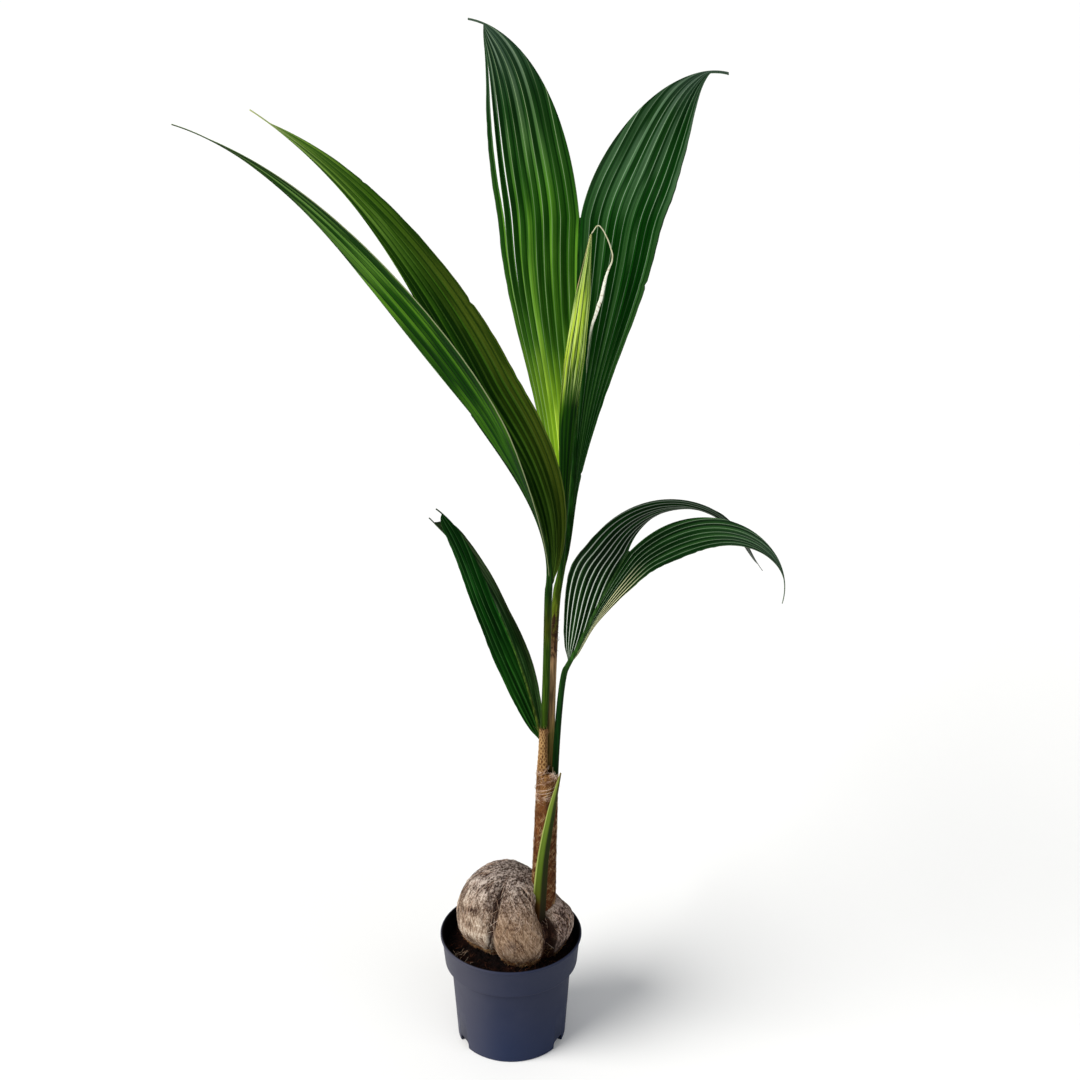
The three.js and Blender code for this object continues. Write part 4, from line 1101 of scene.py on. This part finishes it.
def stemFibres(count, low, high, seed, curl=1.0, radius=0.3, steps=12, angles=(0, 2 * np.pi)):
    # fibres that climb on a slant round the stem, lying on it and lifting off a little at their ends
    random = np.random.default_rng(seed)
    t = np.linspace(0, 1, steps)[None, :]
    z0 = random.uniform(low, high, (count, 1))
    length = random.uniform(14, 44, (count, 1))
    slant = random.choice([-1, 1], (count, 1)) * random.uniform(0.2, 1.3, (count, 1)) * curl
    angle = random.uniform(*angles, (count, 1)) + slant * t * length / 16
    z = np.minimum(z0 + length * t * 0.8 / curl, high + 6)
    fromMiddle = np.abs(2 * t - 1)
    out = curl * random.uniform(0, 2.2, (count, 1)) * fromMiddle**4 * random.uniform(0, 1, (count, 1))
    radii = radius * random.uniform(0.5, 1.1, (count, 1)) * (1 - 0.6 * fromMiddle**3)
    return strands(sheathSurface(angle, z, 0.45 + out), radii)


def tuft(count, centre, spread, reach, toward, seed, radius=0.3, steps=9):
    # short curling fibres that start round a point and leave it towards a direction
    random = np.random.default_rng(seed)
    t = np.linspace(0, 1, steps)[None, :, None]
    start = np.array(centre) + random.normal(0, 1, (count, 1, 3)) * np.array(spread)
    way = unit(np.array(toward) + random.normal(0, 0.45, (count, 1, 3)))
    bend = random.normal(0, 0.35, (count, 1, 3)) * reach
    length = reach * random.uniform(0.4, 1.0, (count, 1, 1))
    radii = radius * random.uniform(0.5, 1.1, (count, 1)) * (1 - 0.75 * t[..., 0]**2)
    return strands(start + way * length * t + bend * t**2, radii)


def installFibres(name, tone, slotName, made):
    points, faces = made
    install(addMesh(name, points, faces, fibreMaterials[tone]), slotName)


for fibresName, tone, made in (
    ("stemFibres", "stem", stemFibres(520, 205, 398, 11)),
    ("curledFibres", "pale", stemFibres(46, 362, 408, 12, 2.2, 0.28, 16, (2.6, 4.9))),
    ("sheathFray", "stem", tuft(30, (43.4, -8.4, 466), (3.4, 1.6, 1.2), 8, (0, -0.2, 1), 13)),
    ("sheathKnot", "pale", tuft(40, (56.5, -15, 404), (2.2, 1.0, 1.6), 9, (-0.1, -0.6, 0.35), 14, 0.42)),
    ("stalkFray", "dark", tuft(64, (58.0, 6.6, 598), (2.4, 0.9, 17), 4.5, (0.1, -0.5, 0.9), 15)),
):
    installFibres(fibresName, tone, "fibre_sheath", made)
print("stem is made")


husk = {
    "centre": (6, 0, 187), "radii": (77, 73, 75), "columns": 420, "rows": 234,
    "fibresRound": 120, "fineFibresRound": 240,
    # azimuth from the front towards +X, elevation, height and spread of each swelling
    "swellings": ((-62, 14, 2.5, 34), (9, -2, 6, 27), (76, 6, 3, 22), (45, 28, -22, 15),
                  (74, 44, -13, 20), (116, 33, -30, 27), (165, 57, -5, 24), (20, 74, -5, 22),
                  (-75, 46, 2.5, 22), (-42, -36, -13, 26)),
    # azimuth, depth, spread, and the elevations between which each groove runs
    "grooves": ((-25, 7, 6, -60, 66), (38, 12, 7, -45, 40), (155, 5, 9, -60, 60)),
    # azimuths and elevations along each crack, its depth and its half width in degrees
    "cracks": (
        (((-31, 64), (-24, 46), (-21, 26), (-24, 8), (-29, -8), (-33, -22)), 2.2, 1.5),
        (((15, 60), (20, 50), (28, 38), (35, 27)), 2.6, 1.2),
        (((8, 52), (15, 40), (25, 26), (33, 18)), 1.6, 0.9),
        (((36, 26), (38, 8), (37, -10), (35, -24)), 4.0, 2.6),
        (((-50, 58), (-44, 50), (-36, 46)), 1.8, 2.2),
        (((-44, 30), (-38, 24), (-33, 14)), 1.3, 1.8),
    ),
    # colours by tone, of the rugged husk and of its smooth front lobe
    "rugged": ((0.38, (0.045, 0.025, 0.018)), (0.47, (0.19, 0.13, 0.090)), (0.54, (0.34, 0.26, 0.195)),
               (0.64, (0.64, 0.55, 0.45))),
    "even": ((0.38, (0.055, 0.028, 0.017)), (0.48, (0.19, 0.12, 0.075)), (0.54, (0.28, 0.195, 0.13)),
             (0.66, (0.43, 0.31, 0.22))),
}


def grooveDepth(azimuth, elevation):
    # each groove is a bell across its line and fades out at both ends of it
    total = np.zeros_like(azimuth)
    for at, depth, spread, low, high in husk["grooves"]:
        offset = (azimuth - at + 540) % 360 - 180
        fade = rise(low - 15, low + 15, elevation) * (1 - rise(high - 15, high + 15, elevation))
        bell = np.exp(-(offset * np.cos(np.radians(elevation)) / spread)**2)
        total = total + depth * fade * (np.abs(offset) < 90) * bell
    return total


def huskRelief(azimuth, elevation):
    # round swellings by the angle from their middle, less the grooves
    e = np.radians(elevation)
    relief = np.zeros_like(azimuth)
    for at, up, height, spread in husk["swellings"]:
        level = np.cos(np.radians(azimuth - at)) * np.cos(e) * math.cos(math.radians(up))
        cosine = level + np.sin(e) * math.sin(math.radians(up))
        relief = relief + height * np.exp(-(np.degrees(np.arccos(np.clip(cosine, -1, 1))) / spread)**2)
    return relief - grooveDepth(azimuth, elevation)


def crackDepth(azimuth, elevation):
    # the deepest of the cracks: each is a line of corners, read by the distance to its nearest stretch
    deepest = np.zeros_like(azimuth)
    wander = 1.4 * softNoise(elevation / 5 + 90, azimuth / 30 + 90, 51)
    for corners, depth, halfWidth in husk["cracks"]:
        nearest = np.full_like(azimuth, 1e9)
        for (a0, e0), (a1, e1) in zip(corners, corners[1:]):
            shrink = math.cos(math.radians((e0 + e1) / 2))
            px, py = (azimuth + wander - a0) * shrink, elevation - e0
            dx, dy = (a1 - a0) * shrink, e1 - e0
            t = np.clip((px * dx + py * dy) / (dx * dx + dy * dy), 0, 1)
            nearest = np.minimum(nearest, np.hypot(px - t * dx, py - t * dy))
        deepest = np.maximum(deepest, depth * np.exp(-(nearest / halfWidth)**2))
    return deepest


def huskPoint(azimuth, elevation, out):
    # a point on the husk in one direction: the ball's, moved out by its relief and by out
    a, e = np.radians(azimuth), np.radians(elevation)
    way = np.stack([np.sin(a) * np.cos(e), -np.cos(a) * np.cos(e), np.sin(e)], -1)
    ball = way * np.array(husk["radii"]) + np.array(husk["centre"])
    return ball + way * (huskRelief(azimuth, elevation) + out)[..., None]


def huskFinish():
    # fibrous beige over brown, mottled black and pale on the crown and the right lobe, painted
    # near-black shade in the clefts and dark painted shade in the cracks, and red-brown below
    f = Finish("huskFinish", 0.9, 0.05)
    pattern, groove, crack, smooth = (f.mark(label) for label in ("texture", "groove", "crack", "smooth"))
    flow, climb = f.mark("flow"), f.mark("climb")
    lines = f.noise(f.joined(f.times(flow, 1.7), f.times(climb, 0.06)), 1.0, 5.0, 0.62)
    grime = f.noise(f.where(), 46, 5.0, 0.68)
    speckle = f.noise(f.where(), 330, 4.0, 0.72)
    hairs = f.clouds(620, 620, 150, 4.0, 0.65)
    x, _, z = f.parts(f.where())
    tone = f.plus(f.times(pattern, 0.075), f.times(f.plus(hairs, speckle), 0.35))
    tone = f.plus(tone, f.times(lines, 0.3))
    rugged, even = f.ramp(tone, husk["rugged"]), f.ramp(tone, husk["even"])
    body = f.blend(smooth, rugged, even)
    grey = f.blend(speckle, (0.035, 0.028, 0.034), (0.24, 0.20, 0.17))
    body = f.blend(f.span(grime, 0.54, 0.64, 0.0, 0.25), body, grey)
    grain = f.times(f.plus(tone, speckle), 0.5)
    mottled = f.blend(f.span(grain, 0.45, 0.57), (0.026, 0.018, 0.017), (0.46, 0.38, 0.34))
    body = f.blend(f.span(z, 0.205, 0.262, 0.0, 0.8), body, mottled)
    body = f.blend(f.span(x, 0.045, 0.062, 0.0, 0.7), body, f.tinted(mottled, (0.75, 0.66, 0.66)))
    # painted shade: near black deep in the grooves, in the cleft on the right and along the cracks
    body = f.blend(f.span(groove, 3.0, 8.0, 0.0, 0.94), body, (0.013, 0.005, 0.003))
    rightCleft = f.times(f.span(groove, 0.6, 3.0), f.span(x, 0.036, 0.044))
    body = f.blend(f.times(rightCleft, 0.93), body, (0.012, 0.005, 0.003))
    body = f.blend(f.span(crack, 0.6, 2.2, 0.0, 0.85), body, (0.022, 0.010, 0.008))
    low = f.span(f.ragged(z, speckle, 0.03), 0.136, 0.168, 0.85, 0.0)
    body = f.blend(low, body, (0.085, 0.026, 0.010))
    f.colour(body)
    f.bump(f.plus(lines, f.times(f.plus(hairs, speckle), 0.6)), 1.0, 0.0016)
    return f.material


def makeHusk():
    # a ball of directions pushed out by the relief and by fibres, lumps, pits and cracks; smooth is 1
    # on the front lobe, where the fibres lie on a slant, and flow counts them round the husk
    columns, rows = husk["columns"], husk["rows"]
    azimuth = np.linspace(-180, 180, columns, endpoint=False)[None, :] + np.zeros((rows, 1))
    elevation = np.linspace(-88.5, 88.5, rows)[:, None] + np.zeros((1, columns))
    turnShare = (azimuth + 180) / 360
    smooth = rise(-26, -18, azimuth) * (1 - rise(28, 36, azimuth)) * (1 - rise(45, 62, elevation))
    slant = elevation / 5 * smooth
    flow = turnShare * husk["fibresRound"] + 1.6 * softNoise(turnShare * 10, elevation / 22, 31, 10) + slant
    fibre = softNoise(flow % 60, elevation / 10, 32, 60)
    fineFlow = turnShare * husk["fineFibresRound"] + elevation / 4 * smooth
    fine = softNoise(fineFlow % 60, elevation / 4, 33, 60)
    lumps = softNoise(turnShare * 22, elevation / 9, 34, 22)
    lumps = lumps + 0.6 * softNoise(turnShare * 40, elevation / 5, 36, 40)
    pits = np.clip(softNoise(turnShare * 40, elevation / 5, 35, 40) - 0.4, 0, 1)
    crack = crackDepth(azimuth, elevation)
    texture = 0.55 * fibre + 0.3 * fine + (1.0 * lumps - 2.0 * pits) * (1 - 0.7 * smooth)
    texture = texture * (1 - rise(62, 84, np.abs(elevation)))
    points = huskPoint(azimuth, elevation, texture - crack).reshape(-1, 3)
    points = np.vstack([points, points[:columns].mean(0), points[-columns:].mean(0)])
    marks = {"texture": texture, "groove": grooveDepth(azimuth, elevation), "crack": crack,
             "smooth": smooth, "flow": flow, "climb": elevation}
    marks = {label: np.append(values.ravel(), [0, 0]) for label, values in marks.items()}
    faces = [gridFaces(rows, columns, around=True), endFans(rows, columns)]
    install(addMesh("coconutHusk", points, faces, huskFinish(), None, marks), "husk", "coconut_husk")


def huskFibres(count, azimuths, elevations, seed, lift, radius=0.32, steps=9):
    # fibres that lie down the husk with a slight slant, their ends lifting off it
    random = np.random.default_rng(seed)
    t = np.linspace(0, 1, steps)[None, :]
    a = random.uniform(*azimuths, (count, 1)) + random.normal(0, 7, (count, 1)) * t
    e = random.uniform(*elevations, (count, 1)) - random.uniform(6, 20, (count, 1)) * t
    out = 0.3 + lift * random.uniform(0, 1, (count, 1)) * np.abs(2 * t - 1)**3
    radii = radius * random.uniform(0.5, 1.1, (count, 1)) * (1 - 0.6 * np.abs(2 * t - 1)**3)
    return strands(huskPoint(a, e, out), radii)


makeHusk()
for fibresName, tone, made in (
    ("huskFibres", "pale", huskFibres(420, (-180, 180), (-16, 72), 21, 0.7, 0.22)),
    ("darkHuskFibres", "dark", huskFibres(420, (-180, 180), (-16, 78), 25, 0.5, 0.26)),
    ("cleftFibres", "dark", huskFibres(80, (26, 46), (-22, 24), 22, 3.5)),
    ("huskHem", "stem", huskFibres(160, (-80, 70), (-26, -16), 23, 3.0)),
):
    installFibres(fibresName, tone, "husk", made)
print("husk is made")


pot = {
    "height": 160, "rimRadius": 95, "rimHeight": 4, "bandRadius": 92.8, "bandFootRadius": 89.4,
    "bandBottom": 117.5, "shoulderRadius": 80.9, "footRadius": 73.5, "wall": 2.2, "floor": 3, "sides": 192,
    "notch": {"width": 22, "height": 13, "inset": 8, "angles": (-120, -60, 60, 120)},
}


def potProfile():
    # radius and height, from the middle of the underside up the outside and down the inside
    band, bandFoot, rim, foot, shoulder = (pot[k] for k in (
        "bandRadius", "bandFootRadius", "rimRadius", "footRadius", "shoulderRadius"))
    ledge, top, wall = pot["bandBottom"], pot["height"], pot["wall"]
    lip = top - pot["rimHeight"]
    outside = [
        (0.01, 0), (foot - 4, 0), (foot - 1.2, 0.25), (foot - 0.3, 0.9), (foot, 2),
        (mix(foot, shoulder, 0.5), ledge / 2), (shoulder - 0.1, ledge - 3), (shoulder + 0.4, ledge - 1),
        (shoulder + 1.8, ledge), (bandFoot - 1.2, ledge), (bandFoot - 0.2, ledge + 0.4),
        (bandFoot, ledge + 1.3), (band, lip - 0.8), (band + 0.6, lip),
        (rim - 0.5, lip + 0.2), (rim, lip + 0.9), (rim, top - 1.0), (rim - 0.4, top - 0.2), (rim - 1.2, top),
    ]
    inside = [
        (band + 0.2, top), (band - 0.6, top - 0.4), (band - wall, lip), (bandFoot - wall, ledge + wall),
        (shoulder - wall, ledge + wall), (foot - wall, pot["floor"]), (0.01, pot["floor"]),
    ]
    return np.array(outside + inside, float), len(outside)


def potMaterial():
    # slate plastic with a little dust, darker and bluer towards the foot as painted shade, paler on the left
    # as a painted sheen, near black inside as painted shade
    f = Finish("potFinish", 0.5, 0.07)
    dust = f.noise(f.where(), 14, 4.0, 0.6)
    grain = f.noise(f.where(), 900, 2.0)
    x, _, z = f.parts(f.where())
    shell = f.ramp(dust, ((0.3, (0.016, 0.021, 0.046)), (0.7, (0.027, 0.031, 0.056))))
    # painted shade: darker and bluer towards the foot
    shell = f.blend(f.span(z, 0.0, 0.11, 0.7, 0.0), shell, (0.012, 0.021, 0.058))
    # painted sheen: paler and greyer on the left
    shell = f.blend(f.span(x, -0.080, 0.0, 0.5, 0.0), shell, (0.078, 0.074, 0.090))
    # painted shade: near black on the inside faces
    f.colour(f.blend(f.mark("inside"), shell, (0.0015, 0.001, 0.0015)))
    f.rough(f.span(dust, 0.3, 0.7, 0.46, 0.62))
    f.bump(grain, 0.12, 0.0004)
    return f.material


def notchCutter(angle, material):
    # an arch outline pushed straight in through the wall's foot
    n = pot["notch"]
    half, h = n["width"] / 2, n["height"]
    t = np.linspace(0, 1, 9)
    right = np.stack([(1 - t**2) * half, (1 - t)**2 * h / 2 + 2 * t * (1 - t) * h + t**2 * h], 1)
    outline = np.vstack([[[-half, -1]], [[half, -1]], right, right[-2::-1] * [-1, 1]])
    a = math.radians(angle)
    layers = []
    for depth in (pot["footRadius"] - n["inset"], pot["footRadius"] + 2 * n["inset"]):
        x = outline[:, 0] * math.cos(a) + depth * math.sin(a)
        y = outline[:, 0] * math.sin(a) - depth * math.cos(a)
        layers.append(np.stack([x, y, outline[:, 1]], 1))
    return addMesh("cutter", np.vstack(layers), drumFaces(2, len(outline)), material)


def makePot():
    # the profile turned about the Z axis, with arched notches cut through the foot of its wall
    profile, outsideCount = potProfile()
    sides = pot["sides"]
    turn = np.linspace(0, 2 * np.pi, sides, endpoint=False)
    r, h = profile[:, :1], profile[:, 1:]
    points = np.stack([r * np.cos(turn), r * np.sin(turn), h + 0 * turn], -1).reshape(-1, 3)
    inside = np.zeros((len(profile), sides))
    inside[outsideCount:] = 1
    material = potMaterial()
    faces = drumFaces(len(profile), sides)
    piece = addMesh("nurseryPot", points, faces, material, None, {"inside": inside})
    for angle in pot["notch"]["angles"]:
        cutter = notchCutter(angle, material)
        cut = piece.modifiers.new("cut", "BOOLEAN")
        cut.operation = "DIFFERENCE"
        cut.solver = "EXACT"
        cut.object = cutter
        bpy.context.view_layer.update()
        done = bpy.data.meshes.new_from_object(piece.evaluated_get(bpy.context.evaluated_depsgraph_get()))
        piece.modifiers.remove(cut)
        piece.data = done
        bpy.data.objects.remove(cutter)
    install(piece, "pot", "pot")


soil = {
    "level": 138, "mound": 10, "rings": 100, "sides": 300, "edge": 86.6, "foot": 122,
    # height, size, offset and seed of each kind of clod
    "clods": ((1.7, 6, 30, 41), (1.0, 2.6, 30, 42), (0.7, 1.3, 32, 43)),
    "crumbs": ((0.40, (0.001, 0.0004, 0.0003)), (0.60, (0.004, 0.0012, 0.001)), (0.76, (0.04, 0.014, 0.008))),
}


def soilTop(x, y):
    # a low mound under three sizes of clods, flatter at the pot's wall
    r = np.hypot(x, y) / soil["edge"]
    clods = sum(high * softNoise(x / size + offset, y / size + offset, seed)
                for high, size, offset, seed in soil["clods"])
    return soil["level"] + soil["mound"] * np.cos(np.pi / 2 * np.minimum(r, 1)) + clods * (1 - 0.5 * r**6)


def makeSoil():
    # a disc of rings at the soil's height, with a skirt down the wall
    r = np.linspace(0.002, 1, soil["rings"])[:, None]
    turn = np.linspace(0, 2 * np.pi, soil["sides"], endpoint=False)[None, :]
    x, y = r * soil["edge"] * np.cos(turn), r * soil["edge"] * np.sin(turn)
    surface = np.stack([x, y, soilTop(x, y)], -1).reshape(-1, 3)
    skirt = np.stack([x[-1], y[-1], np.full(soil["sides"], float(soil["foot"]))], 1)
    faces = [f[:, ::-1] for f in drumFaces(soil["rings"] + 1, soil["sides"])]
    f = Finish("soilFinish", 0.95, 0.1)
    crumbs = f.noise(f.where(), 420, 5.0, 0.7)
    patches = f.noise(f.where(), 60, 3.0)
    damp = f.span(patches, 0.5, 0.7, 0.0, 0.5)
    f.colour(f.blend(damp, f.ramp(crumbs, soil["crumbs"]), (0.016, 0.004, 0.002)))
    f.bump(crumbs, 0.8, 0.0018)
    install(addMesh("pottingSoil", np.vstack([surface, skirt]), faces, f.material), "soil", "soil")


def soilFibres(count, angles, radii, seed, length, lift, radius, steps=9):
    # bent fibres lying on the soil, round the husk
    random = np.random.default_rng(seed)
    t = np.linspace(-0.5, 0.5, steps)[None, :]
    at = random.uniform(*angles, (count, 1))
    far = random.uniform(*radii, (count, 1))
    way = random.uniform(0, 2 * np.pi, (count, 1)) + random.normal(0, 1.2, (count, 1)) * t
    span = length * random.uniform(0.4, 1.0, (count, 1)) * t
    x = far * np.cos(at) + span * np.cos(way)
    y = far * np.sin(at) + span * np.sin(way)
    shrink = np.minimum(1, (soil["edge"] - 1.5) / np.hypot(x, y))
    x, y = x * shrink, y * shrink
    z = soilTop(x, y) + 0.4 + lift * random.uniform(0, 1, (count, 1)) * (0.5 + np.sin(7 * t + 3 * at))
    widths = radius * random.uniform(0.5, 1.1, (count, 1)) * (1 - 0.7 * np.abs(2 * t)**3)
    return strands(np.stack([x, y, z], -1), widths)


makePot()
makeSoil()
installFibres("soilFibres", "soil", "soil", soilFibres(520, (0, 2 * np.pi), (60, 84), 24, 16, 1.4, 0.36))
installFibres("surfaceRoots", "root", "soil", soilFibres(9, (3.45, 3.85), (68, 80), 25, 20, 3.0, 0.5))
print("pot and soil are made")
